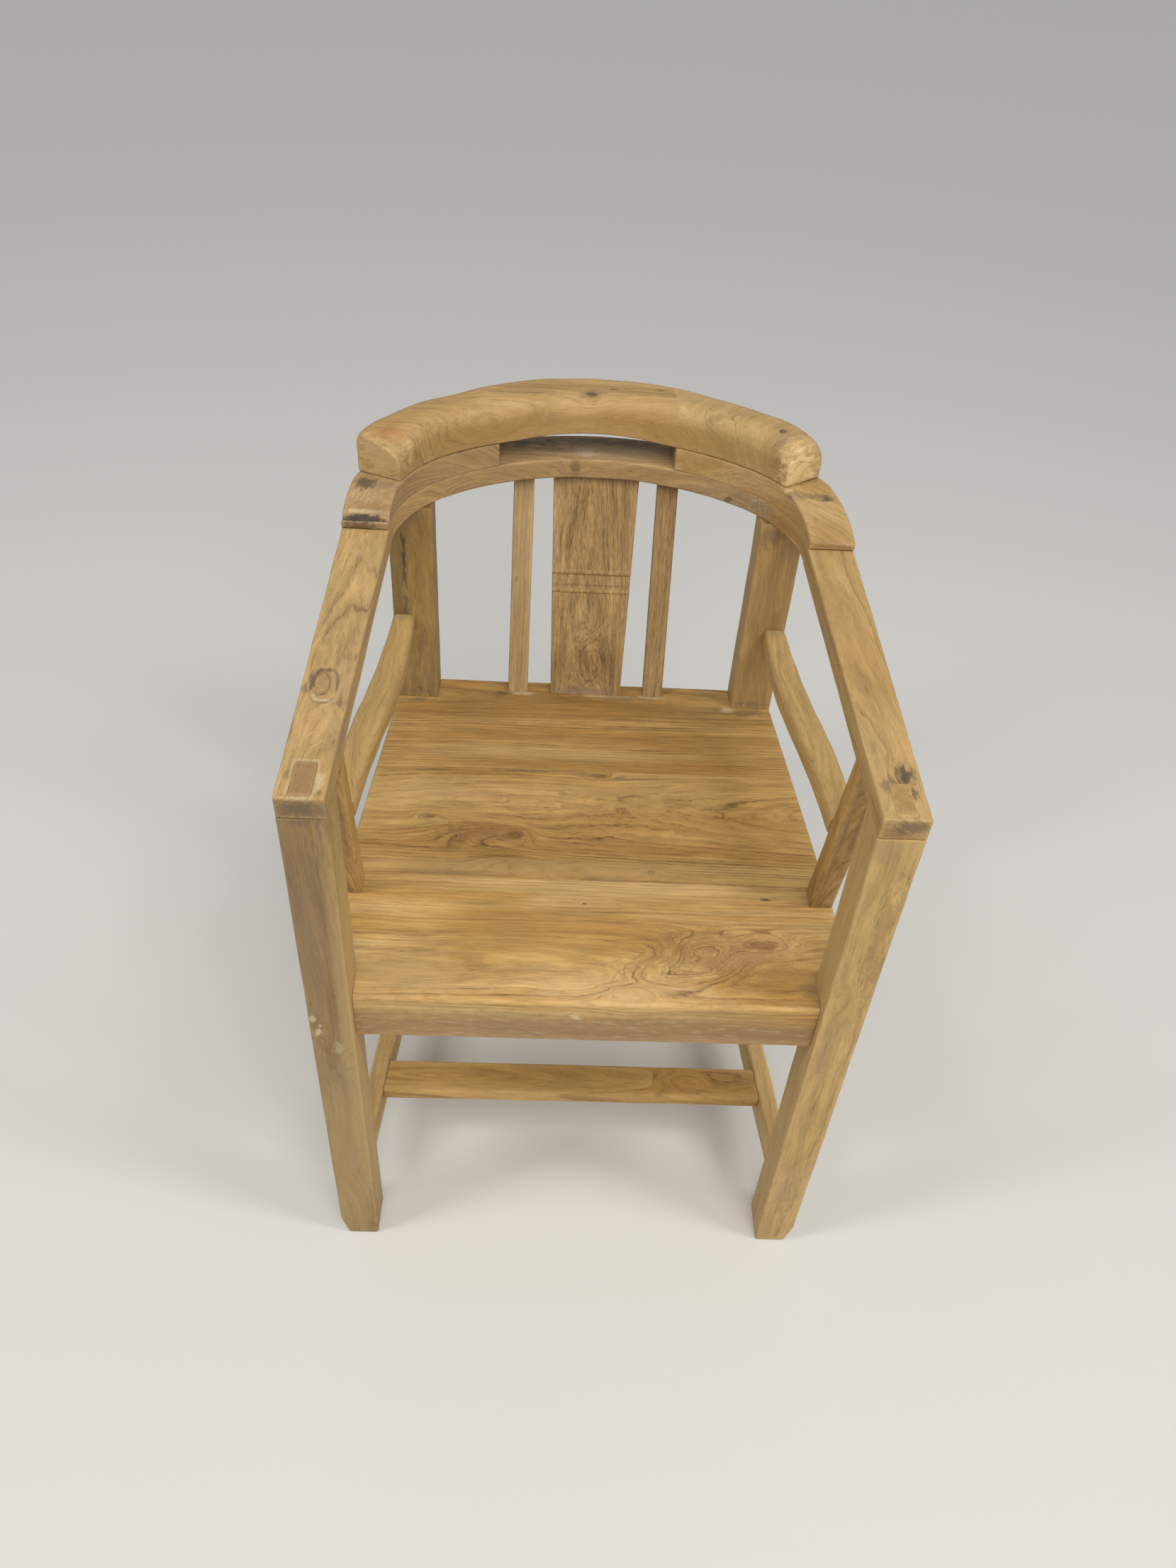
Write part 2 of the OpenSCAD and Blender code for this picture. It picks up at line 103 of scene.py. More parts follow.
def horseshoe(r, a):
    """The point at angle a, in degrees, on the horseshoe line at radius r."""
    ca, sa = cos(radians(a)), sin(radians(a))
    if a <= TANGENT:
        return CORNER_X + r * ca, CORNER_D + r * sa
    if a < 180 - TANGENT:
        return (r + BACK_MORE) * ca, BACK_D + (r + BACK_MORE) * sa
    return -CORNER_X + r * ca, CORNER_D + r * sa


def swollen(r, swell, a):
    """The point at angle a on the horseshoe line at radius r, when its back is moved out by swell."""
    more = BACK_MORE if TANGENT < a < 180 - TANGENT else 0.0
    ca, sa = cos(radians(a)), sin(radians(a))
    reach = swell * sa + sqrt((r + more) ** 2 - (swell * ca) ** 2)
    return horseshoe(max(r, reach - more), a)


def lerp(a, b, t):
    return a + (b - a) * t


def smooth(t):
    t = min(1.0, max(0.0, t))
    return t * t * (3 - 2 * t)


def steps(lo, hi, gap):
    n = max(1, ceil(abs(hi - lo) / gap))
    return [lerp(lo, hi, i / n) for i in range(n + 1)]


# ---- Sticks and boards ----

CORNER_STEPS = 4
WEAR_REACH = 5.0


class Key:
    """One cross-section: its middle, its two side vectors and the radius of each corner."""

    def __init__(self, middle, across, up, radii):
        self.middle, self.across, self.up = middle, across, up
        self.radii = list(radii) if hasattr(radii, "__len__") else [radii] * 4

    def mixed(self, other, t):
        radii = [lerp(a, b, t) for a, b in zip(self.radii, other.radii)]
        middle, across = self.middle.lerp(other.middle, t), self.across.lerp(other.across, t)
        return Key(middle, across, self.up.lerp(other.up, t), radii)


def key_between(p, q, low, high, radii, place=at):
    """A cross-section that stands on the plan line from p to q."""
    a, b, c = place(*p, low), place(*q, low), place(*p, high)
    return Key((a + b) / 2 + (c - a) / 2, b - a, c - a, radii)


def outline(w, h, radii, n_w, n_h):
    """Points (a, b, out_a, out_b, edge) round a rectangle with rounded corners."""
    quarters = []
    for i, (sa, sb) in enumerate(((1, 1), (-1, 1), (-1, -1), (1, -1))):
        r = min(radii[i], w * 0.49, h * 0.49)
        ca, cb, quarter = sa * (w / 2 - r), sb * (h / 2 - r), []
        for k in range(CORNER_STEPS + 1):
            t = radians(90 * i + 90 * k / CORNER_STEPS)
            quarter.append((ca + r * cos(t), cb + r * sin(t), cos(t), sin(t), 1.0))
        quarters.append(quarter)
    points = []
    for i, quarter in enumerate(quarters):
        points += quarter
        (a0, b0, out_a, out_b, _), (a1, b1, *_) = quarter[-1], quarters[(i + 1) % 4][0]
        n, run = (n_h if i % 2 else n_w), hypot(a1 - a0, b1 - b0)
        for k in range(1, n):
            f = 0.5 - 0.5 * cos(pi * k / n)
            edge = exp(-min(f, 1 - f) * run / WEAR_REACH)
            points.append((lerp(a0, a1, f), lerp(b0, b1, f), out_a, out_b, edge))
    return points


class Shape:
    """Collects lofts into one closed mesh."""

    def __init__(self):
        self.verts, self.faces, self.edge, self.cap = [], [], [], []

    def loft(self, keys, ends=(0.4, 0.4), n_w=5, n_h=5, wave=0.7, gap=12.0, reach=70.0, more=(), shape=None,
             seed=0.0):
        """Runs a skin over the cross-sections, rounds both ends and closes them."""
        runs = [0.0]
        for a, b in zip(keys, keys[1:]):
            runs.append(runs[-1] + (b.middle - a.middle).length)
        total = runs[-1]
        stops = set(runs) | set(more)
        for a, b in zip(runs, runs[1:]):
            stops |= set(steps(a, b, gap))
        for r, sign, base in ((ends[0], 1, 0.0), (ends[1], -1, total)):
            for k in range(CORNER_STEPS + 1):
                stops.add(base + sign * r * (1 - cos(pi / 2 * k / CORNER_STEPS)))
            for extra in (1.5, 4.0):
                stops.add(base + sign * (r + extra))
        ordered = []
        for s in sorted(stops):
            if 0 <= s <= total and (not ordered or s - ordered[-1] > 0.05):
                ordered.append(s)
        ordered[-1] = total
        first = len(self.verts)
        for s in ordered:
            i = min(max(k for k in range(len(runs)) if runs[k] <= s + 1e-9), len(keys) - 2)
            span = runs[i + 1] - runs[i]
            key = keys[i].mixed(keys[i + 1], (s - runs[i]) / span if span > 1e-9 else 0.0)
            inset, depth = 0.0, 1e9
            for r, dist in ((ends[0], s), (ends[1], total - s)):
                depth = min(depth, dist - r)
                if dist < r:
                    inset = max(inset, r - sqrt(max(0.0, r * r - (r - dist) ** 2)))
            w, h = key.across.length, key.up.length
            ea, eb = key.across / w, key.up / h
            spots = [key.middle * 0.02 + Vector((seed, 7.3 * k, 0)) for k in range(4)]
            wear = [1 + 0.45 * noise.noise(spot) for spot in spots]
            radii = [max(0.3, r * k - inset * 0.3) for r, k in zip(key.radii, wear)]
            ring = outline(w - 2 * inset, h - 2 * inset, radii, n_w, n_h)
            near = exp(-max(0.0, depth) / WEAR_REACH)
            for a, b, oa, ob, edge in ring:
                p = key.middle + ea * a + eb * b
                if shape:
                    p = shape(s, a / w, b / h, p, ea, eb)
                if wave:
                    dip = 0.5 + 0.5 * noise.noise(p / reach + Vector((seed, 0, 0)))
                    p = p - (ea * oa + eb * ob) * wave * dip
                self.verts.append(p * MM)
                self.edge.append(max(edge, near))
                self.cap.append(0.0)
        count, last = len(ring), len(self.verts) - len(ring)
        for here in range(first, last, count):
            for j in range(count):
                k, there = (j + 1) % count, here + count
                self.faces.append((here + j, here + k, there + k, there + j))
        self.close(first, count, True)
        self.close(last, count, False)

    def close(self, start, count, flip):
        """Closes an end with smaller and smaller copies of its rim."""
        rim = list(range(start, start + count))
        middle = sum((self.verts[i] for i in rim), Vector()) / count
        reach = min((self.verts[i] - middle).length for i in rim) / MM
        for share in (0.88, 0.6, 0.3):
            inner = list(range(len(self.verts), len(self.verts) + count))
            for i in range(start, start + count):
                self.verts.append(middle.lerp(self.verts[i], share))
                self.edge.append(exp(-(1 - share) * reach / WEAR_REACH))
                self.cap.append(1.0)
            for j in range(count):
                k = (j + 1) % count
                face = (rim[j], rim[k], inner[k], inner[j])
                self.faces.append(face[::-1] if flip else face)
            rim = inner
        self.faces.append(tuple(rim[::-1] if flip else rim))

    def make(self, name, node, material, side=0):
        """The mesh object, in place of the CAD node. One of a pair is drawn on the right, as side 1."""
        word = {-1: "_left", 0: "", 1: "_right"}[side]
        name, node = name + word, node + word
        mesh = bpy.data.meshes.new(name)
        verts = [Vector((-v.x, v.y, v.z)) for v in self.verts] if side < 0 else self.verts
        mesh.from_pydata(verts, [], self.faces)
        for label, values in (("edge", self.edge), ("cap", self.cap)):
            layer = mesh.attributes.new(label, "FLOAT", "POINT")
            layer.data.foreach_set("value", values)
        tidy = bmesh.new()
        tidy.from_mesh(mesh)
        bmesh.ops.recalc_face_normals(tidy, faces=tidy.faces)
        tidy.to_mesh(mesh)
        tidy.free()
        mesh.polygons.foreach_set("use_smooth", [True] * len(mesh.polygons))
        mesh.set_sharp_from_angle(angle=radians(50))
        mesh.update()
        obj = bpy.data.objects.new(name, mesh)
        scene.collection.objects.link(obj)
        mesh.materials.append(material)
        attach(obj, "root")
        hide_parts(node)


def piece(name, node, slot, material, keys, side=0, **how):
    shape = Shape()
    shape.loft(keys, **how)
    shape.make(name, node, material, side)


# ---- Wood ----


class Tree:
    """A few short calls for building a shader."""

    def __init__(self, name):
        self.material = bpy.data.materials.new(name)
        self.material.use_nodes = True
        self.nodes = self.material.node_tree.nodes
        self.links = self.material.node_tree.links
        self.nodes.clear()

    def put(self, socket, value):
        if isinstance(value, bpy.types.NodeSocket):
            self.links.new(value, socket)
        elif isinstance(value, (tuple, list, Vector)):
            size = len(socket.default_value)
            socket.default_value = (list(value) + [1.0] * size)[:size]
        else:
            socket.default_value = value

    def node(self, kind, *values, **settings):
        """Adds a node with its settings and its first inputs, and gives its outputs."""
        n = self.nodes.new("ShaderNode" + kind)
        for key, value in settings.items():
            setattr(n, key, value)
        for socket, value in zip(n.inputs, values):
            self.put(socket, value)
        return n.outputs

    def math(self, operation, a, b=0.0, c=0.0, clamp=False):
        return self.node("Math", a, b, c, operation=operation, use_clamp=clamp)[0]

    def mul(self, a, b, clamp=False):
        return self.math("MULTIPLY", a, b, clamp=clamp)

    def mad(self, a, b, c, clamp=False):
        return self.math("MULTIPLY_ADD", a, b, c, clamp)

    def add(self, a, b):
        return self.math("ADD", a, b)

    def sub(self, a, b):
        return self.math("SUBTRACT", a, b)

    def vector(self, operation, a, b=(0, 0, 0)):
        return self.node("VectorMath", a, b, operation=operation)[0]

    def dot(self, a, b):
        return self.node("VectorMath", a, b, operation="DOT_PRODUCT")["Value"]

    def length(self, v):
        return self.node("VectorMath", v, operation="LENGTH")["Value"]

    def join(self, x, y, z):
        return self.node("CombineXYZ", x, y, z)[0]

    def split(self, v):
        return self.node("SeparateXYZ", v)

    def noise(self, v, detail, rough):
        n = self.nodes.new("ShaderNodeTexNoise")
        for name, value in (("Vector", v), ("Scale", 1.0), ("Detail", detail), ("Roughness", rough)):
            self.put(n.inputs[name], value)
        return n.outputs["Fac"], n.outputs["Color"]

    def ramp(self, value, lo, hi, to_lo=0.0, to_hi=1.0, kind="SMOOTHSTEP"):
        return self.node("MapRange", value, lo, hi, to_lo, to_hi, interpolation_type=kind)[0]

    def curve(self, value, stops):
        n = self.nodes.new("ShaderNodeValToRGB")
        ramp = n.color_ramp
        while len(ramp.elements) < len(stops):
            ramp.elements.new(0.5)
        for element, (place, level) in zip(ramp.elements, stops):
            element.position = place
            element.color = (level, level, level, 1)
        self.put(n.inputs[0], value)
        return n.outputs[0]

    def mix(self, share, a, b):
        n = self.nodes.new("ShaderNodeMix")
        n.data_type = "RGBA"
        for i, value in ((0, share), (6, a), (7, b)):
            self.put(n.inputs[i], value)
        return n.outputs[2]

    def attribute(self, name):
        return self.node("Attribute", attribute_name=name)["Fac"]


# A knot's shape along the grain, across it and out of the board
KNOT_FORM, LONG_KNOT = (0.45, 1.0, 0.35), (0.7, 1.0, 0.35)
# How ragged the rim of a stain mark or painted light and shade patch is. Ones longer than BROAD have softer
# rims
RAGGED, BROAD_RAGGED, BROAD = 3.6, 0.9, 150
# How far the grain jumps at the scarf, and the finish of rubbed and plain wood
SCARF_JUMP, RUBBED, SMOOTHEST, ROUGHEST = 700.0, 0.25, 0.50, 0.64
# Line strength across one year's growth, from the porous early wood to the smooth late wood
YEAR = [(0.0, 0.8), (0.07, 1.0), (0.22, 0.38), (0.55, 0.05), (0.88, 0.14), (1.0, 0.8)]


def wood(name, origin, axes, light, deep, dark, pith=(20.0, -90.0), lean=0.0, year=6.0, wobble=12.0,
         lines=0.8, pores=0.4, fibre=0.30, grey=0.0, knots=(), stains_and_painted_shading=(), rims=(), scrapes=(), scarf=None,
         seed=0.0, end_dark=0.3, tangle=7.0, open_pores=0.0, place=at):
    """Solid elm. axes are the directions along the grain, across it and out of the board.

    The first entry of each knot, stain or painted light and shade patch, rim and scrape is its spot, which
    place turns into a point.
    """
    t = Tree(name)
    here = t.vector("MULTIPLY", t.node("TexCoord")["Object"], (1 / MM,) * 3)
    along, across, out = (Vector(a).normalized() for a in axes)
    u, v, w = (t.dot(t.vector("SUBTRACT", here, origin), a) for a in (along, across, out))
    flat_u, flat_v, flat_w = u, v, w
    past = 0.0
    if scarf:
        scarf_at, scarf_normal, turn = scarf
        beyond = t.dot(t.vector("SUBTRACT", here, scarf_at), scarf_normal)
        past = t.math("GREATER_THAN", beyond, 0.0)
        cos_turn = t.mad(past, cos(turn) - 1, 1.0)
        sin_turn = t.mul(past, sin(turn))
        turned = t.add(t.mul(flat_u, cos_turn), t.mul(flat_v, sin_turn))
        v = t.sub(t.mul(flat_v, cos_turn), t.mul(flat_u, sin_turn))
        u = t.mad(past, SCARF_JUMP, turned)

    def stretched(fu, fv, fw, shift, place=None):
        scaled = t.vector("MULTIPLY", place or t.join(u, v, w), (fu, fv, fw))
        return t.vector("ADD", scaled, (seed + shift, seed * 1.7, shift * 2.3))

    def pattern(*settings, detail=3.0, rough=0.5, place=None):
        return t.noise(stretched(*settings, place), detail, rough)[0]

    # Growth rings round a wandering pith
    _, bend = t.noise(stretched(0.0032, 0.011, 0.011, 3.1), 2.0, 0.45)
    _, kink = t.noise(stretched(0.014, 0.05, 0.05, 9.7), 3.0, 0.55)
    bx, by, _ = t.split(t.vector("SUBTRACT", bend, (0.5, 0.5, 0.5)))
    kx, ky, _ = t.split(t.vector("SUBTRACT", kink, (0.5, 0.5, 0.5)))
    rv = t.add(t.mad(bx, wobble * 2.4, v), t.mul(kx, wobble * 0.5))
    rw = t.add(t.mad(by, wobble * 2.4, w), t.mul(ky, wobble * 0.5))
    rw = t.mad(u, lean, rw)
    radius = t.length(t.join(t.sub(rv, pith[0]), t.sub(rw, pith[1]), 0.0))

    # Knots push the rings aside and have a dark middle
    knot_mask = figure = None
    for spot, size, push, darkness, *form in knots:
        form = form[0] if form else KNOT_FORM
        gap = t.vector("SUBTRACT", here, place(*spot))
        parts = [t.mul(t.dot(gap, a), k) for a, k in zip((along, across, out), form)]
        parts[1] = t.mad(kx, size * 0.5, parts[1])
        parts[0] = t.mad(ky, size * 0.5, parts[0])
        near = t.join(*parts)
        bump = t.math("EXPONENT", t.mul(t.dot(near, near), -1.0 / size**2))
        radius = t.mad(bump, push, radius)
        figure = bump if figure is None else t.math("MAXIMUM", figure, bump)
        if darkness:
            heart = t.mul(t.ramp(bump, 0.6, 0.93), darkness)
            knot_mask = heart if knot_mask is None else t.math("MAXIMUM", knot_mask, heart)

    if figure is not None:
        curl = pattern(0.045, 0.11, 0.11, 5.9, rough=0.6)
        radius = t.mad(t.mul(figure, tangle), t.sub(curl, 0.5), radius)

    # Everything below follows the rings, so it also flows round the knots
    skin = t.add(t.mul(rv, 0.7), rw)
    flow = t.join(u, radius, skin)
    spread = pattern(0.001, 0.022, 0.0, 13.9, detail=1.0, place=flow)
    phase = t.add(t.math("DIVIDE", radius, year), t.mad(spread, 2.4, t.mul(kx, 0.5)))
    white = t.nodes.new("ShaderNodeTexWhiteNoise")
    white.noise_dimensions = "1D"
    t.put(white.inputs["W"], t.add(t.math("FLOOR", phase), seed))
    chance, chance_2, _ = t.split(white.outputs["Color"])
    line = t.curve(t.math("FRACT", phase), YEAR)
    patch = pattern(0.006, 0.02, 0.02, 21.3, detail=2.0)
    dash = pattern(0.022, 0.55, 0.25, 15.2, detail=2.0, rough=0.55, place=flow)
    line = t.mul(line, t.ramp(t.mul(chance, chance), 0.0, 1.0, 0.22, 1.15, "LINEAR"))
    line = t.mul(line, t.ramp(patch, 0.3, 0.7, 0.35, 1.15, "LINEAR"))
    if figure is not None:
        line = t.mul(line, t.mad(figure, 1.1, 1.0))
    drawn = t.mul(line, t.ramp(dash, 0.32, 0.6, 0.3, 1.15, "LINEAR"))

    # Broad colour changes, fibres and pores
    bands = pattern(0.0022, 0.04, 0.005, 31.9, rough=0.55, place=flow)
    zones = pattern(0.0045, 0.013, 0.013, 36.4)
    base = t.mix(t.ramp(bands, 0.36, 0.64), light, deep)
    base = t.mix(t.mul(t.ramp(chance_2, 0.5, 1.0), 0.35), base, deep)
    pale = (min(1.0, light[0] * 1.07), light[1] * 1.09, light[2] * 1.24)
    base = t.mix(t.mul(t.ramp(zones, 0.5, 0.72), 0.65), base, pale)
    fibres = pattern(0.03, 0.85, 0.3, 41.2, rough=0.6, place=flow)
    fine = pattern(0.010, 0.2, 0.1, 55.4, detail=2.0, place=flow)
    holes = pattern(0.075, 1.1, 0.9, 63.8, detail=1.0, place=flow)
    hole = t.ramp(holes, 0.58 - open_pores * 0.1, 0.68 - open_pores * 0.08)
    hole = t.mul(hole, t.mad(line, 1.1, 0.25 + open_pores * 0.5, clamp=True))
    colour = t.mix(t.mul(drawn, lines, clamp=True), base, dark)
    shade = t.add(*(t.ramp(n, 0.25, 0.75, fibre * 0.55, -fibre * 0.55, "LINEAR") for n in (fibres, fine)))
    shade = t.add(shade, 1.0)
    colour = t.node("VectorMath", colour, (0, 0, 0), (0, 0, 0), shade, operation="SCALE")[0]
    colour = t.mix(t.mul(hole, pores), colour, tuple(c * 0.42 for c in dark))

    # Old grey, knots, stain marks and painted light and shade, outlines and scraper marks
    cloud = pattern(0.02, 0.06, 0.06, 77.7, detail=4.0, rough=0.6)
    fleck = pattern(0.07, 0.16, 0.16, 88.1, detail=5.0, rough=0.68)
    if grey:
        colour = t.mix(t.mul(t.ramp(cloud, 0.42, 0.7), grey), colour, (0.26, 0.183, 0.108))
    if scarf:
        colour = t.mix(t.mul(past, 0.22), colour, (0.36, 0.25, 0.10))
    if knot_mask is not None:
        colour = t.mix(knot_mask, colour, tuple(c * 0.45 for c in dark))
    for spot, reach, strength, tone, *crisp in stains_and_painted_shading:
        off = t.vector("DIVIDE", t.vector("SUBTRACT", here, place(*spot)), reach)
        ragged = crisp[0] if crisp else BROAD_RAGGED if max(reach) > BROAD else RAGGED
        rim = t.mad(fleck, -ragged, t.add(t.length(off), ragged / 2))
        patch = t.ramp(rim, 0.8 if crisp else 0.35, 1.15, 1.0, 0.0)
        colour = t.mix(t.mul(patch, strength), colour, tone)
    for spot, long_r, wide_r, power, thick, strength, tone in rims:
        gap = t.vector("SUBTRACT", here, place(*spot))
        a = t.math("ABSOLUTE", t.math("DIVIDE", t.dot(gap, along), long_r))
        b = t.math("ABSOLUTE", t.math("DIVIDE", t.dot(gap, across), wide_r))
        whole = t.math("POWER", t.add(t.math("POWER", a, power), t.math("POWER", b, power)), 1 / power)
        away = t.mul(t.math("ABSOLUTE", t.sub(whole, 1.0)), wide_r / thick)
        mask = t.mul(t.ramp(away, 0.35, 1.0, 1.0, 0.0), t.ramp(fleck, 0.34, 0.52, 0.15, 1.0))
        shallow = t.ramp(t.math("ABSOLUTE", t.dot(gap, out)), 3.0, 5.0, 1.0, 0.0)
        colour = t.mix(t.mul(t.mul(mask, shallow), strength), colour, tone)
    for spot, reach, angle, strength, tone in scrapes:
        off = t.vector("DIVIDE", t.vector("SUBTRACT", here, place(*spot)), reach)
        ca, sa = cos(angle), sin(angle)
        run = t.dot(t.join(flat_u, flat_v, flat_w), (ca, sa, 0.3))
        side = t.dot(t.join(flat_u, flat_v, flat_w), (-sa, ca, 0.3))
        marks, _ = t.noise(t.join(t.mul(run, 0.04), t.mul(side, 0.55), seed), 3.0, 0.6)
        region = t.mul(t.ramp(t.length(off), 0.5, 1.0, 1.0, 0.0), strength)
        colour = t.mix(t.mul(t.ramp(marks, 0.54, 0.64), region), colour, tone)

    # End grain and rubbed edges
    colour = t.mix(t.mul(t.attribute("cap"), end_dark), colour, tuple(c * 0.9 for c in dark))
    rubbed = t.mul(t.attribute("edge"), t.ramp(fleck, 0.35, 0.6, 0.15, 1.0))
    colour = t.mix(t.mul(rubbed, RUBBED), colour, tuple(min(1.0, c * 1.15) for c in pale))

    shader = t.nodes.new("ShaderNodeBsdfPrincipled")
    t.put(shader.inputs["Base Color"], colour)
    gloss = t.mad(hole, 0.2, t.ramp(cloud, 0.3, 0.7, SMOOTHEST, ROUGHEST, "LINEAR"))
    t.put(shader.inputs["Roughness"], gloss)
    shader.inputs["Specular IOR Level"].default_value = 0.32
    height = t.mul(drawn, -0.4)
    height = t.mad(hole, -0.9, height)
    height = t.mad(fibres, 0.7, height)
    height = t.mad(cloud, 1.2, height)
    bump = t.nodes.new("ShaderNodeBump")
    bump.inputs["Strength"].default_value = 0.55
    bump.inputs["Distance"].default_value = 0.0007
    t.put(bump.inputs["Height"], height)
    t.put(shader.inputs["Normal"], bump.outputs["Normal"])
    output = t.nodes.new("ShaderNodeOutputMaterial")
    t.links.new(shader.outputs[0], output.inputs["Surface"])
    return t.material


HONEY = dict(light=(0.452, 0.296, 0.119), deep=(0.366, 0.224, 0.077), dark=(0.15, 0.078, 0.028))
FAIR = dict(light=(0.49, 0.324, 0.122), deep=(0.405, 0.252, 0.086), dark=(0.17, 0.092, 0.034))
WARM = dict(light=(0.473, 0.298, 0.10), deep=(0.355, 0.196, 0.052), dark=(0.13, 0.057, 0.017))
SUNNY = dict(light=(0.56, 0.37, 0.145), deep=(0.445, 0.255, 0.070), dark=(0.18, 0.08, 0.024))
PALE = dict(light=(0.325, 0.205, 0.074), deep=(0.24, 0.14, 0.046), dark=(0.10, 0.055, 0.024))
RED = dict(light=(0.53, 0.34, 0.115), deep=(0.41, 0.23, 0.072), dark=(0.105, 0.044, 0.016))
BACK = dict(light=(0.36, 0.234, 0.097), deep=(0.285, 0.172, 0.063), dark=(0.14, 0.07, 0.027))
GREY = (0.19, 0.142, 0.095)
DIRT = (0.10, 0.073, 0.048)
# Near-black, for soot and dirt, and also for painted shadow at the struts' tops and in the splat's carved
# band
SOOT_AND_PAINTED_SHADE = (0.035, 0.027, 0.020)
BROWN = (0.21, 0.10, 0.038)
FILLER = (0.60, 0.50, 0.31)


# ---- Legs and posts ----

FOOT_CUT, FOOT_H = 8.0, 34.0
TENON_W, TENON_D0, TENON_D1, TENON_PROUD = 19.0, 4.0, 46.0, 0.12
TENON_AT = (LEG_IN + LEG_OUT) / 2
POST_EDGE = (2.6, 2.6, 2.8, 2.8)


def upright(x0, x1, d0, d1, foot_cut=0.0):
    """Cross-sections of a square post, from the floor to the tilted underside of the ring."""
    middle, keys = (d0 + d1) / 2, []
    for z in (0.0, FOOT_H * 0.5, FOOT_H, FOOT_H + 14, 400.0):
        cut = foot_cut * max(0.0, 1 - z / FOOT_H)
        keys.append(Key(at((x0 + x1 - cut) / 2, middle, z), X * (x1 - cut - x0), Y * (d1 - d0), POST_EDGE))
    top = at((x0 + x1) / 2, middle, UNDER_H + SLOPE_K * middle)
    keys.append(Key(top, X * (x1 - x0), (Y + Z * SLOPE_K) * (d1 - d0), POST_EDGE))
    return keys


def front_leg(side, material):
    """A leg, with the end of its tenon just proud of the arm's top."""
    shape = Shape()
    leg = upright(LEG_IN, LEG_OUT, 0.0, LEG_D, FOOT_CUT)
    shape.loft(leg, ends=(2.5, 0.3), n_w=7, n_h=7, seed=3.0 * side)
    middle, deep = (TENON_D0 + TENON_D1) / 2, RING_BACK * (TENON_D1 - TENON_D0)
    tenon = [Key(on_ring(TENON_AT, middle, z), X * TENON_W, deep, 1.2) for z in (-6.0, TENON_PROUD)]
    shape.loft(tenon, ends=(0.5, 0.4), n_w=4, n_h=4, wave=0.0)
    shape.make("leg_front", "front_leg", material, side)


# Painted light: a pale tone laid over the front legs' inner side faces, so they look lit from the side
INNER_FACE_PAINTED_LIGHT = (0.54, 0.375, 0.155)
front_leg(-1, wood(
    "elm_leg_front_left", at(-267, 25, 380), UPRIGHT, **PALE, pith=(-60, -46), lean=0.02, year=4.2,
    wobble=7, lines=0.75, grey=0.5, fibre=0.42, seed=4,
    knots=[
        ((-283, 0, 436), 9, 12, 0.2), ((-258, 0, 370), 14, 18, 0),
        ((-275, 0, 150), 20, 14, 0),
    ],
    stains_and_painted_shading=[
        # Painted light on the leg's inner side face
        ((-LEG_IN, 30, 380), (4.5, 60, 480), 0.85, INNER_FACE_PAINTED_LIGHT),
        ((-251, 0, 400), (10, 12, 340), 0.6, (0.42, 0.295, 0.125)),
        ((-284, 0, 446), (5, 9, 6), 0.85, FILLER), ((-281, 0, 424), (4, 8, 7), 0.85, FILLER),
        ((-279, 0, 436), (3, 8, 3), 0.7, FILLER), ((-290, 0, 500), (3, 8, 14), 0.5, FILLER),
        ((-262, 0, 396), (5, 8, 12), 0.4, FILLER), ((-267, 0, 733), (30, 12, 12), 0.75, DIRT),
        ((-286, 0, 640), (9, 14, 90), 0.5, DIRT), ((-262, 0, 650), (7, 12, 70), 0.4, DIRT),
        ((-276, 0, 600), (26, 12, 210), 0.4, (0.23, 0.14, 0.078)),
        ((-278, 0, 540), (14, 12, 60), 0.35, GREY), ((-270, 0, 330), (22, 12, 50), 0.3, GREY),
        ((-270, 0, 170), (34, 16, 230), 0.5, (0.42, 0.285, 0.13)),
        ((-TENON_AT, 25, ARM_H + 1), (40, 60, 5), 0.6, (0.45, 0.28, 0.13)),
    ],
))
front_leg(1, wood(
    "elm_leg_front_right", at(267, 25, 380), UPRIGHT, **FAIR, pith=(40, -80), lean=0.015, year=4.6,
    wobble=7, lines=0.5, grey=0.22, seed=12, knots=[((262, 0, 500), 9, 10, 0.15)],
    stains_and_painted_shading=[
        # The first patch is painted light on the leg's inner side face
        ((LEG_IN, 30, 380), (4.5, 60, 480), 0.45, INNER_FACE_PAINTED_LIGHT), ((276, 0, 600), (10, 14, 90), 0.4, BROWN),
        ((262, 0, 120), (14, 14, 40), 0.25, GREY), ((252, 0, 720), (16, 12, 20), 0.3, GREY),
        ((258, 0, 420), (8, 12, 60), 0.3, GREY),
    ],
))


def rear_post(side, material):
    keys = upright(POST_IN, POST_OUT, POST_D0, POST_D1)
    piece("post_rear", "rear_post", "elm_frame", material, keys, side,
          ends=(2.5, 0.8), n_w=7, n_h=6, seed=5.0 * side)


rear_post(-1, wood(
    "elm_post_left", at(-226, 544, 400), UPRIGHT, light=(0.335, 0.218, 0.072), deep=(0.25, 0.15, 0.043),
    dark=(0.08, 0.04, 0.015), pith=(10, -40), lean=0.03, year=4.4, wobble=7, lines=0.8, grey=0.15,
    fibre=0.42, seed=22,
    stains_and_painted_shading=[
        # Painted shadow: a dark band down the post's outer front, standing in for the shade the arm casts
        # on it
        ((-249, 523, 600), (15, 26, 190), 0.7, (0.135, 0.082, 0.032)),
        ((-236, 520, 690), (3, 12, 44), 0.8, SOOT_AND_PAINTED_SHADE), ((-236, 520, 610), (4, 12, 60), 0.6, DIRT),
        ((-222, 520, 545), (6, 12, 50), 0.5, BROWN), ((-214, 520, 520), (12, 12, 60), 0.4, GREY),
        ((-230, 520, 478), (34, 20, 4), 0.5, GREY), ((-228, 540, 745), (30, 30, 22), 0.4, GREY),
    ],
))
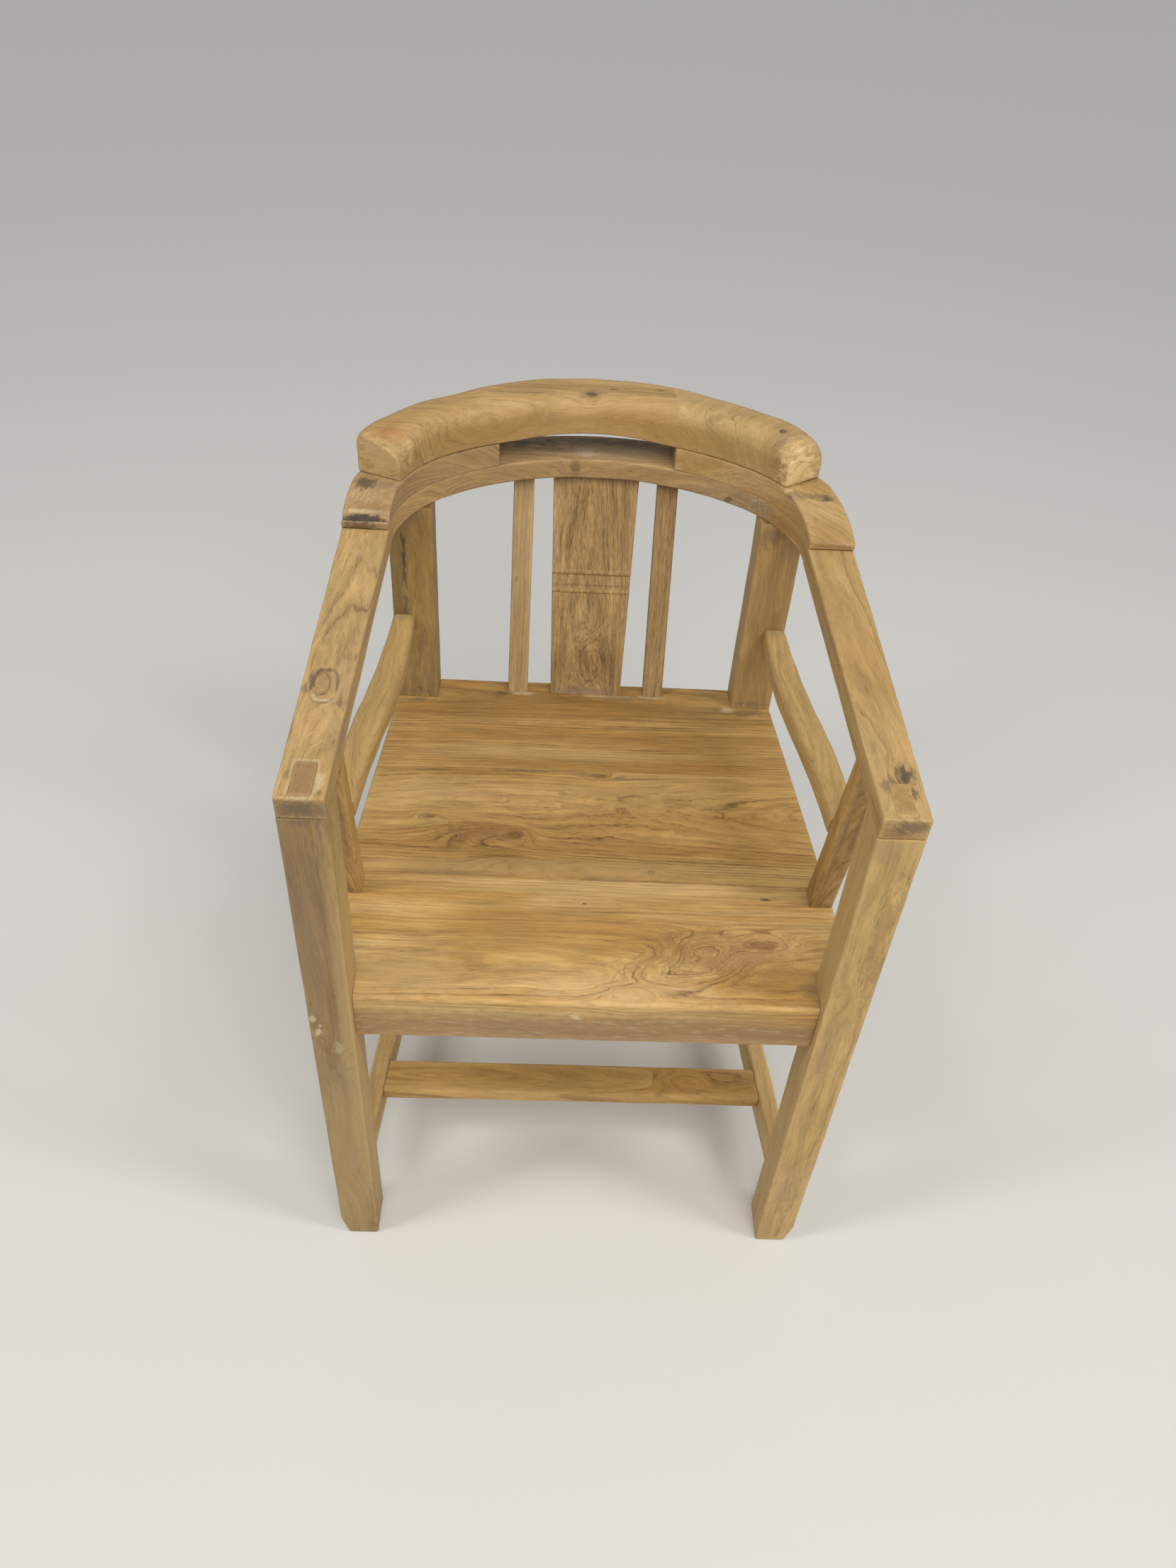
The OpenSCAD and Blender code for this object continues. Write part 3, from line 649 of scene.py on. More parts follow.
rear_post(1, wood(
    "elm_post_right", at(226, 544, 400), UPRIGHT, **HONEY, pith=(-30, -50), lean=0.02, year=4.6,
    wobble=8, lines=0.6, grey=0.2, seed=31,
    stains_and_painted_shading=[
        ((226, 520, 478), (34, 18, 4), 0.5, GREY), ((211, 523, 738), (20, 20, 20), 0.5, DIRT),
        ((240, 523, 600), (8, 12, 60), 0.3, BROWN),
    ],
))


# ---- Seat ----


def side_x(d):
    return LEG_OUT + (POST_OUT - LEG_OUT) * (d - LEG_D) / (POST_D0 - LEG_D)


def both_sides(*right):
    """Pairs of plan points from the left side to the right, from those of the right half."""
    return [((-a, b), (-c, d)) for (a, b), (c, d) in reversed(right)] + list(right)


def seat_board(name, node, plan, material, radii, seed):
    """plan lists pairs of plan points, front and back, from the left side to the right."""
    keys = [key_between(p, q, SEAT_LOW, SEAT_TOP, r) for (p, q), r in zip(plan, radii)]
    piece(name, node, "elm_seat", material, keys,
          ends=(3.5, 3.5), n_w=22, n_h=8, gap=9.0, wave=0.35, reach=110.0, seed=seed)


TIGHT, SOFT, FRONT_EDGE, UNDER = 0.5, 2.5, 4.5, 2.5
ear = (TIGHT, TIGHT, TIGHT, TIGHT)
nose = (TIGHT, FRONT_EDGE, UNDER, TIGHT)
plan = both_sides(
    ((LEG_IN, SEAT_D0), (LEG_IN, JOINT_1)),
    ((LEG_IN + 0.5, LEG_D), (LEG_IN + 0.5, JOINT_1)),
    ((LEG_OUT, LEG_D), (side_x(JOINT_1), JOINT_1)),
)
seat_board(
    "seat_front", "seat_board_front", plan,
    wood(
        "elm_seat_front", at(0, 90, SEAT_TOP), SIDEWAYS, **SUNNY, pith=(-30, -58), lean=0.012, year=4.4,
        wobble=5.5, lines=0.85, pores=0.35, fibre=0.42, tangle=16, seed=41, place=on_seat,
        knots=[
            ((204, 167), 4.5, 4, 0.95), ((-3, 152), 2.2, 2, 0.8),
            ((195, 97), 15, 30, 0.25, (0.5, 1, 0.35)), ((128, 80), 26, 40, 0, LONG_KNOT),
            ((84, 54), 18, 22, 0), ((40, 26), 12, 14, 0),
        ],
        stains_and_painted_shading=[
            ((150, 86), (95, 40, 30), 0.42, (0.33, 0.155, 0.065)), ((192, 97), (24, 8, 20), 0.5, BROWN),
            ((240, 36), (18, 14, 12), 0.45, GREY), ((-60, 125), (190, 18, 20), 0.4, (0.44, 0.235, 0.062)),
            ((-40, 92), (150, 8, 20), 0.3, (0.44, 0.235, 0.062)),
            ((-200, 45), (80, 34, 20), 0.3, (0.6, 0.42, 0.2)),
            ((60, 30), (130, 12, 20), 0.3, (0.6, 0.43, 0.21)),
            ((20, 172), (330, 9, 9), 0.4, (0.54, 0.38, 0.15)),
            # Painted shade: the board's front face is darkened, as a face turned away from the lamps looks
            ((0, SEAT_D0 - 2, 14 - SEAT_T), (900, 6, 44), 0.85, (0.255, 0.152, 0.069)),
            ((-12, SEAT_D0, -24), (6, 6, 5), 0.7, FILLER),
        ], scrapes=[((0, SEAT_D0 - 2, 16 - SEAT_T), (700, 7, 34), 0, 0.35, (0.52, 0.37, 0.225))],
    ),
    [ear, ear, nose, nose, ear, ear], 1.0)
plan = both_sides(((side_x(JOINT_1), JOINT_1), (side_x(JOINT_2), JOINT_2)))
seat_board(
    "seat_middle", "seat_board_middle", plan,
    wood(
        "elm_seat_middle", at(0, 284, SEAT_TOP), SIDEWAYS, **WARM, pith=(25, -70), lean=-0.03, year=4.2,
        wobble=7, lines=0.95, pores=0.35, fibre=0.42, tangle=12, seed=47, place=on_seat,
        knots=[
            ((-86, 260), 12, 22, 0.5, LONG_KNOT), ((-132, 263), 24, 20, 0),
            ((-190, 288), 8, 11, 0.35), ((-11, 205), 10, 18, 0.15, LONG_KNOT),
            ((-59, 206), 12, 18, 0), ((-100, 214), 14, 14, 0),
            ((76, 205), 8, 13, 0.45, (0.8, 1, 0.35)), ((16, 371), 8, 11, 0.3),
            ((60, 300), 60, 9, 0),
        ],
        stains_and_painted_shading=[
            ((-128, 262), (66, 18, 20), 0.5, BROWN),
            ((120, 290), (180, 26, 20), 0.35, (0.38, 0.195, 0.048)),
            ((90, 250), (150, 14, 20), 0.3, (0.38, 0.195, 0.05)),
            ((-30, 206), (310, 18, 12), 0.5, (0.5, 0.335, 0.145)),
            ((-200, 335), (80, 26, 20), 0.4, (0.52, 0.355, 0.165)),
            ((20, 345), (160, 12, 20), 0.35, (0.52, 0.355, 0.15)), ((-159, 193), (40, 4, 9), 0.5, GREY),
            ((20, 190), (26, 4, 9), 0.5, GREY), ((-85, 377), (44, 2.6, 9), 0.7, DIRT),
            ((-190, 373), (30, 2.6, 9), 0.6, DIRT), ((0, 374), (36, 4, 9), 0.5, GREY),
            ((42, 368), (9, 6, 9), 0.5, GREY),
        ],
    ),
    [(TIGHT, TIGHT, TIGHT, TIGHT)] * 2, 2.0)
plan = both_sides(
    ((POST_IN, JOINT_2), (POST_IN, POST_D1)),
    ((POST_IN + 0.5, JOINT_2), (POST_IN + 0.5, POST_D0)),
    ((side_x(JOINT_2), JOINT_2), (POST_OUT, POST_D0)),
)
tail = (SOFT, TIGHT, TIGHT, UNDER)
seat_board(
    "seat_rear", "seat_board_rear", plan,
    wood(
        "elm_seat_rear", at(0, 470, SEAT_TOP), SIDEWAYS, **WARM, pith=(60, -75), lean=0.014, year=4.2,
        wobble=5, lines=0.8, pores=0.35, fibre=0.42, seed=53, place=on_seat,
        stains_and_painted_shading=[
            ((0, 510), (280, 40, 30), 0.35, (0.27, 0.155, 0.05)),
            ((60, 440), (200, 14, 30), 0.3, (0.27, 0.14, 0.045)),
            ((-60, 412), (230, 16, 20), 0.35, (0.5, 0.34, 0.15)), ((-226, 515), (32, 6, 9), 0.55, DIRT),
            ((222, 513), (34, 11, 9), 0.6, DIRT), ((196, 518), (10, 6, 9), 0.6, FILLER),
            ((-92, 538), (22, 5, 9), 0.5, FILLER), ((92, 539), (24, 5, 9), 0.5, FILLER),
            ((20, 538), (44, 4, 9), 0.4, FILLER), ((-110, 536), (14, 6, 9), 0.6, SOOT_AND_PAINTED_SHADE),
            ((60, 534), (60, 5, 9), 0.4, GREY),
        ],
    ),
    [ear, ear, tail, tail, ear, ear], 3.0)


# ---- Arms, bow and blocks ----

BLOCK_D, BLOCK_TIP = 430.0, 10.0


def arm_line(y):
    t = y / CORNER_D
    return (LEG_IN - TOE_IN * t, y), (lerp(LEG_OUT, CORNER_X + CORNER_R + RING_W, t), y)


def arm(side, material):
    keys = []
    for y in steps(0.0, CORNER_D, 15.0):
        top = lerp(2.6, 1.0, smooth((y - BLOCK_D + 4) / 6))
        keys.append(key_between(*arm_line(y), -RING_T, 0.0, (top, top, 0.8, 0.8), on_ring))
    for a in steps(0.0, JOINT_A, 2.5)[1:]:
        ends = horseshoe(CORNER_R, a), swollen(CORNER_R + RING_W, BOW_SWELL, a)
        keys.append(key_between(*ends, -RING_T, 0.0, (1.0, 1.0, 3.0, 3.0), on_ring))
    piece("armrest", "arm", "elm_ring", material, keys, side,
          ends=(1.6, 0.3), n_w=8, wave=0.8, seed=8.0 * side)


arm(-1, wood(
    "elm_arm_left", on_ring(-267, 200, 0), ALONG_ARM, **HONEY, pith=(14, -60), lean=0.05, year=4.4,
    wobble=8, lines=0.65, grey=0.16, fibre=0.36, seed=61, place=on_ring,
    knots=[((-268, 154), 10, 8, 0)],
    rims=[
        ((-268, 153), 25, 12.5, 2.6, 1.5, 0.45, DIRT),
        ((-TENON_AT, 25), 21.6, 10.1, 14, 0.8, 0.6, DIRT),
        ((-TENON_AT, 25), 23.6, 12, 9, 1.6, 0.35, FILLER),
    ], scrapes=[((-268, 72), (22, 26, 6), 0.75, 0.55, (0.6, 0.49, 0.28))],
    stains_and_painted_shading=[
        ((-268, 155), (9, 17, 4), 0.6, (0.31, 0.19, 0.085)), ((-280, 160), (4, 17, 4), 0.8, DIRT),
        ((-273, 177), (9, 5, 4), 0.65, DIRT), ((-268, 132), (10, 2.6, 4), 0.75, FILLER),
        ((-277, 139), (2.5, 6, 4), 0.6, FILLER), ((-256, 158), (2.2, 16, 4), 0.5, DIRT),
        ((-286, 150), (3, 10, 5), 0.6, DIRT), ((-250, 128), (3, 6, 5), 0.5, DIRT),
        ((-270, 90), (24, 26, 6), 0.25, (0.46, 0.27, 0.11)),
        ((-267, 0, -14), (40, 5, 12), 0.85, (0.13, 0.1, 0.068)), ((-246, 90, -10), (8, 30, 12), 0.4, GREY),
        ((-281, 30), (4, 9, 6), 0.4, DIRT), ((-252, 20), (5, 16, 6), 0.55, FILLER),
        ((-250, 8), (3, 5, 6), 0.6, DIRT),
    ],
))
arm(1, wood(
    "elm_arm_right", on_ring(267, 200, 0), ALONG_ARM, **HONEY, pith=(-24, -80), lean=0.03, year=5.8,
    wobble=10, lines=0.5, grey=0.1, seed=67, place=on_ring, knots=[((270, 55), 9, 8, 0.3)],
    scrapes=[((190, 542, -12), (26, 26, 16), 0.9, 0.5, (0.6, 0.52, 0.36))],
    stains_and_painted_shading=[
        ((276, 58), (9, 15, 9), 0.8, SOOT_AND_PAINTED_SHADE), ((260, 44), (12, 12, 9), 0.6, DIRT),
        ((277, 34), (6, 9, 9), 0.7, SOOT_AND_PAINTED_SHADE), ((272, 0, -10), (18, 8, 10), 0.7, DIRT),
        ((266, 18), (14, 8, 6), 0.4, FILLER), ((262, 180), (2.5, 14, 6), 0.6, BROWN),
        ((252, 96), (6, 14, 9), 0.35, GREY), ((194, 541, -12), (26, 24, 15), 0.65, (0.2, 0.155, 0.11)),
        ((218, 505, -16), (10, 30, 12), 0.35, BROWN),
    ],
))


def back_bow(material):
    keys = []
    for a in steps(JOINT_A, 180 - JOINT_A, 2.0):
        ends = horseshoe(CORNER_R, a), swollen(CORNER_R + RING_W, BOW_SWELL, a)
        middle = (ends[0][0] + ends[1][0]) / 2
        top = 1.0 if abs(middle) > 124 else 2.6
        keys.append(key_between(*ends, -RING_T, 0.0, (1.0, top, 3.0, 3.0), on_ring))
    piece("bow_back", "back_bow", "elm_ring", material, keys, ends=(0.3, 0.3), n_w=8, seed=17.0)


back_bow(wood(
    "elm_bow", on_ring(0, 640, 0), ALONG_BACK, light=(0.422, 0.288, 0.132), deep=(0.342, 0.218, 0.088),
    dark=(0.14, 0.078, 0.032), pith=(-70, -40), lean=0.03, year=5, wobble=12, lines=0.45, grey=0.35,
    seed=71, place=on_ring, knots=[((-28, 612, -12), 6, 8, 0.5)],
    stains_and_painted_shading=[
        ((-10, 646, 2), (230, 34, 5.5), 0.85, (0.3, 0.225, 0.135)),
        ((-14, 634), (20, 12, 6), 0.6, (0.47, 0.39, 0.27)), ((30, 660, 2), (110, 10, 5), 0.7, DIRT),
        ((-90, 650, 2), (60, 12, 5), 0.7, DIRT), ((60, 640, 2), (40, 6, 5), 0.4, (0.42, 0.34, 0.23)),
        ((-60, 636, 2), (50, 6, 5), 0.5, DIRT), ((160, 566, -20), (6, 7, 5), 0.8, SOOT_AND_PAINTED_SHADE),
        ((176, 556, -14), (20, 20, 14), 0.4, GREY),
    ],
))


def shoulder_block(side, slot_x, crest_a, notch, material):
    """From its low front end on the arm to its flat inner end at the hand slot."""
    inner_end = degrees(acos(slot_x / (CORNER_R + BACK_MORE)))
    outer_y = BOW_SWELL + sqrt((CORNER_R + RING_W + BACK_MORE) ** 2 - slot_x**2)
    outer_end = degrees(atan2(outer_y, slot_x))
    flat_y = CORNER_D + (CORNER_R + RING_W / 2) * sin(radians(crest_a)) - 12

    def top(y):
        share = (y - BLOCK_D) / (flat_y - BLOCK_D)
        rise = lerp(BLOCK_TIP, BLOCK_T, min(1.0, max(0.0, share)) ** 1.12)
        return rise - notch * exp(-(((y - BLOCK_D - 8.5) / 5.2) ** 4))

    keys = []
    for y in steps(BLOCK_D, CORNER_D, 1.2):
        keys.append(key_between(*arm_line(y), 0.0, top(y), (3.0, 3.0, 0.6, 0.6), on_ring))
    for i in range(1, 61):
        t = i / 60
        ends = horseshoe(CORNER_R, inner_end * t), swollen(CORNER_R + RING_W, BOW_SWELL, outer_end * t)
        y = (ends[0][1] + ends[1][1]) / 2 if t < 0.5 else flat_y
        edge = lerp(3.5, 0.6, smooth((t * inner_end - crest_a) / 3))
        keys.append(key_between(*ends, 0.0, top(y), (edge, edge, 0.6, 0.6), on_ring))
    piece("shoulder", "shoulder_block", "elm_ring", material, keys, side,
          ends=(2.5, 1.5), n_w=8, wave=0.6, seed=23.0 * side)


SLOT_L, SLOT_R = 122.0, 94.0
CREST_L, CREST_R = 21.0, 32.0
shoulder_block(-1, SLOT_L, CREST_L, 6.0, wood(
    "elm_block_left", on_ring(-240, 500, 14),
    (Vector((0.35, 0.93, 0.04)), Vector((0.93, -0.35, 0)), RING_UP),
    light=(0.39, 0.26, 0.118), deep=(0.32, 0.2, 0.085), dark=(0.14, 0.08, 0.036),
    pith=(10, -50), lean=0.08, year=4.8, wobble=11, lines=0.5, grey=0.2, seed=83,
    place=on_ring, scrapes=[((-273, 466, 20), (20, 20, 16), 0.15, 0.6, (0.6, 0.47, 0.3))],
    stains_and_painted_shading=[
        ((-272, 486, 27), (17, 9, 8), 0.75, SOOT_AND_PAINTED_SHADE), ((-250, 482, 27), (14, 8, 8), 0.55, GREY),
        ((-270, 438, 4), (27, 10, 10), 0.95, SOOT_AND_PAINTED_SHADE, 1.6),
        ((-266, 447, 12), (26, 3, 5), 0.6, FILLER),
        ((-250, 452, 14), (26, 10, 8), 0.45, BROWN),
    ],
))
shoulder_block(1, SLOT_R, CREST_R, 0.0, wood(
    "elm_block_right", on_ring(240, 500, 14),
    (Vector((-0.3, 0.95, 0.04)), Vector((0.95, 0.3, 0)), RING_UP), **HONEY,
    pith=(-20, -70), lean=0.1, year=5, wobble=12, lines=0.42, grey=0.15, seed=89,
    place=on_ring, scrapes=[((262, 478, 20), (24, 24, 16), -0.3, 0.4, (0.6, 0.47, 0.28))],
    stains_and_painted_shading=[
        ((250, 505, 27), (34, 6, 8), 0.55, DIRT), ((268, 503, 27), (8, 5, 8), 0.7, SOOT_AND_PAINTED_SHADE),
        ((226, 500, 27), (12, 8, 8), 0.45, GREY),
        ((244, 470, 24), (26, 22, 10), 0.3, (0.5, 0.33, 0.18)),
        ((222, 512, 27), (5, 3, 8), 0.6, FILLER), ((250, 431, 8), (34, 4, 6), 0.5, BROWN),
    ],
))


# ---- Crest ----

CREST_IN, CREST_OUT, CREST_SWELL, CREST_HOLLOW = CORNER_R + 2, CORNER_R + 52, 13.0, 5.0
CREST_STEP = 3.1  # millimetres of crest per degree
RIGHT_DROP, RIGHT_PULL, LEFT_DROP = (20.0, 30), (5.0, 18), (2.5, 8)  # each with the length it fades over
BACK_R, BACK_R_SIDE, BACK_R_LEFT, INNER_R, LOW_R = 13.0, 25.0, 17.0, 19.0, (2.0, 2.5)
DISH, DISH_RUN = 17.0, 80


def hollow(x):
    """How far the crest's underside is scooped out at x, over the hand slot."""
    share = (x - (SLOT_R - SLOT_L) / 2) / ((SLOT_L + SLOT_R) / 2)
    return CREST_HOLLOW * max(0.0, 1 - share * share)


def rounding(size, away):
    """A quarter-round fall of the given depth and length, at a distance from the end."""
    depth, run = size
    return depth * (1 - sqrt(1 - max(0.0, 1 - away / run) ** 2))


def crest_rail(material):
    angles = sorted(set(
        steps(CREST_R, CREST_R + 12, 0.5)
        + steps(CREST_R + 12, 168 - CREST_L, 2.0)
        + steps(168 - CREST_L, 180 - CREST_L, 0.5)
    ))
    keys = []
    for a in angles:
        right, left = (a - CREST_R) * CREST_STEP, (180 - CREST_L - a) * CREST_STEP
        drop = rounding(RIGHT_DROP, right) + LEFT_DROP[0] * max(0.0, 1 - left / LEFT_DROP[1]) ** 2
        pull = rounding(RIGHT_PULL, right)
        back_r = lerp(BACK_R_LEFT, lerp(BACK_R, BACK_R_SIDE, smooth(abs(a - 90) / 42)), smooth(left / 60))
        inner, outer = horseshoe(CREST_IN + pull * 0.25, a), swollen(CREST_OUT - pull, CREST_SWELL, a)
        low = BLOCK_T + hollow(outer[0])
        keys.append(key_between(inner, outer, low, CREST_TOP - drop, (back_r, INNER_R, *LOW_R), on_ring))
    total = sum((q.middle - p.middle).length for p, q in zip(keys, keys[1:]))

    def dish(s, across, up, p, ea, eb):
        """Near the left end the top slopes down towards the sitter."""
        return p - eb * DISH * (1 - smooth((total - s) / DISH_RUN)) * (0.5 - across) * max(0.0, up + 0.5)

    piece("crest", "crest_rail", "elm_crest", material, keys,
          ends=(6.0, 1.6), n_w=8, n_h=6, reach=120.0, shape=dish, seed=29.0)


crest_rail(wood(
    "elm_crest", on_ring(0, 620, 60), ALONG_BACK, **HONEY, pith=(-40, -10), lean=0.06, year=6.4,
    wobble=16, lines=0.65, grey=0.14, fibre=0.36, tangle=9, seed=97, end_dark=0,
    scarf=(on_ring(93, 600, 50), Vector((1, 0.1, 0)), 0.7), place=on_ring,
    knots=[
        ((-12, 630, 80), 8, 10, 0.95, LONG_KNOT), ((14, 642, 80), 4, 4, 0.5),
        ((72, 646, 78), 5, 5, 0.5), ((134, 590, 78), 9, 9, 0.3), ((205, 538, 72), 8, 9, 0.3),
        ((206, 531, 52), 16, 40, 0.1, (1, 1, 1)), ((-240, 515, 78), 14, 16, 0),
        ((-170, 600, 78), 16, 12, 0),
    ],
    stains_and_painted_shading=[
        ((-243, 518, 72), (17, 15, 16), 0.75, (0.36, 0.165, 0.055)),
        ((-222, 516, 50), (5, 10, 22), 0.5, (0.6, 0.44, 0.22)),
        ((-10, 590, 36), (330, 60, 36), 0.62, (0.325, 0.19, 0.058)),
        ((40, 612, 60), (70, 30, 12), 0.3, (0.3, 0.15, 0.045)),
        ((-180, 560, 46), (60, 40, 20), 0.3, (0.36, 0.22, 0.08)), ((-12, 630, 80), (14, 11, 10), 0.5, SOOT_AND_PAINTED_SHADE),
        ((-252, 494, 50), (34, 26, 34), 0.45, (0.52, 0.37, 0.19)),
        ((212, 545, 76), (16, 14, 10), 0.4, GREY), ((238, 512, 46), (34, 30, 40), 0.85, (0.74, 0.53, 0.27)),
        ((236, 508, 44), (5, 6, 14), 0.5, DIRT), ((228, 512, 62), (5, 6, 8), 0.5, BROWN),
    ],
))

PEG_D = 9.0
PEGS = ((-226.0, 541.0, -4.5), (212.0, 556.0, 0.0))


def crest_pegs(material):
    shape = Shape()
    for x, y, rise in PEGS:
        heights = (60.0, CREST_TOP + rise)
        keys = [Key(on_ring(x, y, z), X * PEG_D, RING_BACK * PEG_D, PEG_D * 0.49) for z in heights]
        shape.loft(keys, ends=(0.5, 0.8), n_w=2, n_h=2, wave=0.0)
    shape.make("peg_heads", "crest_pegs", material)


crest_pegs(wood(
    "elm_peg", on_ring(0, 547, 80), (RING_UP, X, RING_BACK), light=(0.22, 0.13, 0.065),
    deep=(0.17, 0.095, 0.045), dark=(0.08, 0.045, 0.02), pith=(0, 0), year=2, wobble=4, lines=0.5,
    seed=101,
))


# ---- Back boards ----

LEAN_A = radians(16.0)
LEAN, LEAN_COS = tan(LEAN_A), cos(LEAN_A)
SPLAT_D = 540.0
BEADS = (147.0, 172.0)
BEAD_R, BEAD_H, STRIP = 3.0, 1.5, 0.9


def leaning(x0, low_w, high_w, thick, radii, d0=SPLAT_D, k=LEAN, slant=LEAN_COS, x1=None):
    """Cross-sections of a board that leans back, from the seat's top to the underside of the ring."""
    deep = thick / slant
    middle = d0 + deep / 2
    top = (UNDER_H + SLOPE_K * (middle - SEAT_TOP * k)) / (1 - SLOPE_K * k)
    keys = []
    for z, up in ((SEAT_TOP, Y), (SEAT_TOP + 12, Y), (top - 12, Y), (top, Y + Z * SLOPE_K)):
        t = (z - SEAT_TOP) / (top - SEAT_TOP)
        x = x0 if x1 is None else lerp(x0, x1, t)
        place = at(x, middle + (z - SEAT_TOP) * k, z)
        keys.append(Key(place, X * lerp(low_w, high_w, t), up * deep, radii))
    return keys


def splat(material):
    lean_run = sqrt(1 + LEAN**2) * LEAN_COS

    def carve(s, fa, fb, p, ea, eb):
        if fb > -0.3:
            return p
        run, push = s * lean_run, 0.0
        for bead in BEADS:
            if abs(run - bead) < BEAD_R:
                push = BEAD_H * sqrt(1 - ((run - bead) / BEAD_R) ** 2)
        if BEADS[0] + BEAD_R * 0.8 < run < BEADS[1] - BEAD_R * 0.8 and push < 0.9:
            push = -STRIP
        return p - eb * push

    piece("back_splat", "splat", "elm_back", material, leaning(0.0, 96.0, 109.5, 15.0, 1.8),
          n_w=14, n_h=4, wave=0.5, seed=37.0,
          more=steps(BEADS[0] - 4, BEADS[1] + 4, 0.45), shape=carve)


board_axes = (Vector((0, sin(LEAN_A), LEAN_COS)), X, Vector((0, -LEAN_COS, sin(LEAN_A))))
splat(wood(
    "elm_splat", at(0, 580, 600), board_axes, **BACK, pith=(-8, -26), lean=0.06, year=3.4, wobble=5,
    lines=0.5, pores=0.4, fibre=0.6, open_pores=0.8, tangle=4, seed=103,
    knots=[((0, 552, 510), 22, 18, 0)],
    # The second patch, a thin near-black line across the carved band, is painted shadow beside the bead
    stains_and_painted_shading=[((0, 541, 474), (60, 10, 7), 0.5, GREY), ((0, 583, 618), (70, 10, 2.2), 0.35, SOOT_AND_PAINTED_SHADE)],
))


def slat(side, material):
    piece("back_slat", "slat", "elm_back", material, leaning(92.5, 27.0, 27.0, 18.0, 2.2, x1=91.5), side,
          n_h=4, wave=0.6, seed=43.0 * side)


slat(-1, wood(
    "elm_slat_left", at(-92, 580, 600), board_axes, light=(0.44, 0.305, 0.14), deep=(0.36, 0.23, 0.095),
    dark=(0.16, 0.09, 0.04), pith=(-30, -30), year=4.5, wobble=8, lines=0.5, pores=0.3, grey=0.2,
    open_pores=0.5, seed=107,
))
slat(1, wood(
    "elm_slat_right", at(92, 580, 600), board_axes, **BACK, pith=(26, -20), year=4.2, wobble=8,
    lines=0.6, pores=0.45, grey=0.1, open_pores=0.7, seed=109,
))


# ---- Arm posts and side rails ----

ARM_POST_D, ARM_POST_W, ARM_POST_T = 170.0, 28.0, 26.0
POST_LEAN = radians(10.6)
STRUT_X = LEG_OUT - 9 - ARM_POST_W / 2


def arm_post(side, material):
    deep = ARM_POST_T / cos(POST_LEAN)
    keys = leaning(STRUT_X, ARM_POST_W, ARM_POST_W, ARM_POST_T, 3.2,
                   d0=ARM_POST_D - deep / 2, k=-tan(POST_LEAN), slant=cos(POST_LEAN))
    piece("strut", "arm_post", "elm_struts", material, keys, side, seed=47.0 * side)


strut_up = Vector((0, -sin(POST_LEAN), cos(POST_LEAN)))
for side, word, seed in ((-1, "left", 113.0), (1, "right", 127.0)):
    arm_post(side, wood(
        "elm_strut_" + word, at(side * STRUT_X, 145, 600), (strut_up, X, -Y), **RED,
        pith=(side * 18, -22), year=4.6, wobble=5, lines=0.8, pores=0.5, fibre=0.45, grey=0.1,
        seed=seed,
        stains_and_painted_shading=[
            ((side * (STRUT_X + 6), 145, 640), (3, 60, 90), 0.6, BROWN),
            ((side * (STRUT_X - 6), 145, 600), (2.5, 60, 110), 0.5, BROWN),
            # Painted shadow: the near-black patch at the strut's top stands in for the shade under the arm
            ((side * STRUT_X, 122, 728), (24, 20, 12), 0.6, SOOT_AND_PAINTED_SHADE),
            ((side * STRUT_X, 165, 474), (24, 22, 6), 0.6, GREY),
        ],
    ))

RAIL_W, RAIL_H, RAIL_Z = 28.0, 30.0, 595.0
RAIL_X0, RAIL_FRONT = POST_OUT - RAIL_W / 2, ARM_POST_D - 30
BELLY, BULGE, RAIL_WAVE, RAIL_DROP = 7.0, 9.0, 4.0, 8.0


def side_rail(side, material):
    end_d = ARM_POST_D - (RAIL_Z - SEAT_TOP) * tan(POST_LEAN) + ARM_POST_T / 2 / cos(POST_LEAN)
    whole, cut = 40, 5
    keys = []
    for i in range(whole + 1):
        t = i / whole * (POST_D0 - end_d) / (POST_D0 - RAIL_FRONT)
        turn = sin(pi * t)
        x = lerp(RAIL_X0, STRUT_X, t) - BELLY * 1.6 * turn * (1 - t) + BULGE * turn / 2
        z = RAIL_Z - RAIL_WAVE * sin(2 * pi * t) - RAIL_DROP * (1 - t) ** 2
        up = Z - Y * tan(POST_LEAN) * max(0, i - whole + cut) / cut
        corner = lerp(6.0, 10.0, turn)
        place = at(x, lerp(POST_D0, RAIL_FRONT, t), z)
        keys.append(Key(place, X * (RAIL_W + BULGE * turn), up * RAIL_H, (corner, corner, 8.0, 8.0)))
    piece("rail", "side_rail", "elm_struts", material, keys, side,
          ends=(2.5, 0.6), wave=1.3, reach=42.0, seed=53.0 * side)


for side, word, seed in ((-1, "left", 131.0), (1, "right", 137.0)):
    side_rail(side, wood(
        "elm_rail_" + word, at(side * 250, 340, 595), FORE_AFT, **FAIR, pith=(side * 26, -34),
        lean=0.04, year=4.8, wobble=10, lines=0.4, grey=0.12, seed=seed,
        stains_and_painted_shading=[((side * 238, 518, 600), (18, 12, 14), 0.5, GREY)],
    ))


# ---- Stretchers ----

STRETCHER_Z = box_mm("side_stretcher_right")[1].z
STRETCHER_W, STRETCHER_H = 24.0, 45.0
LEG_X, POST_X = (LEG_IN + LEG_OUT) / 2, (POST_IN + POST_OUT) / 2


def stretcher_x(d):
    return lerp(LEG_X, POST_X, (d - LEG_D) / (POST_D0 - LEG_D))


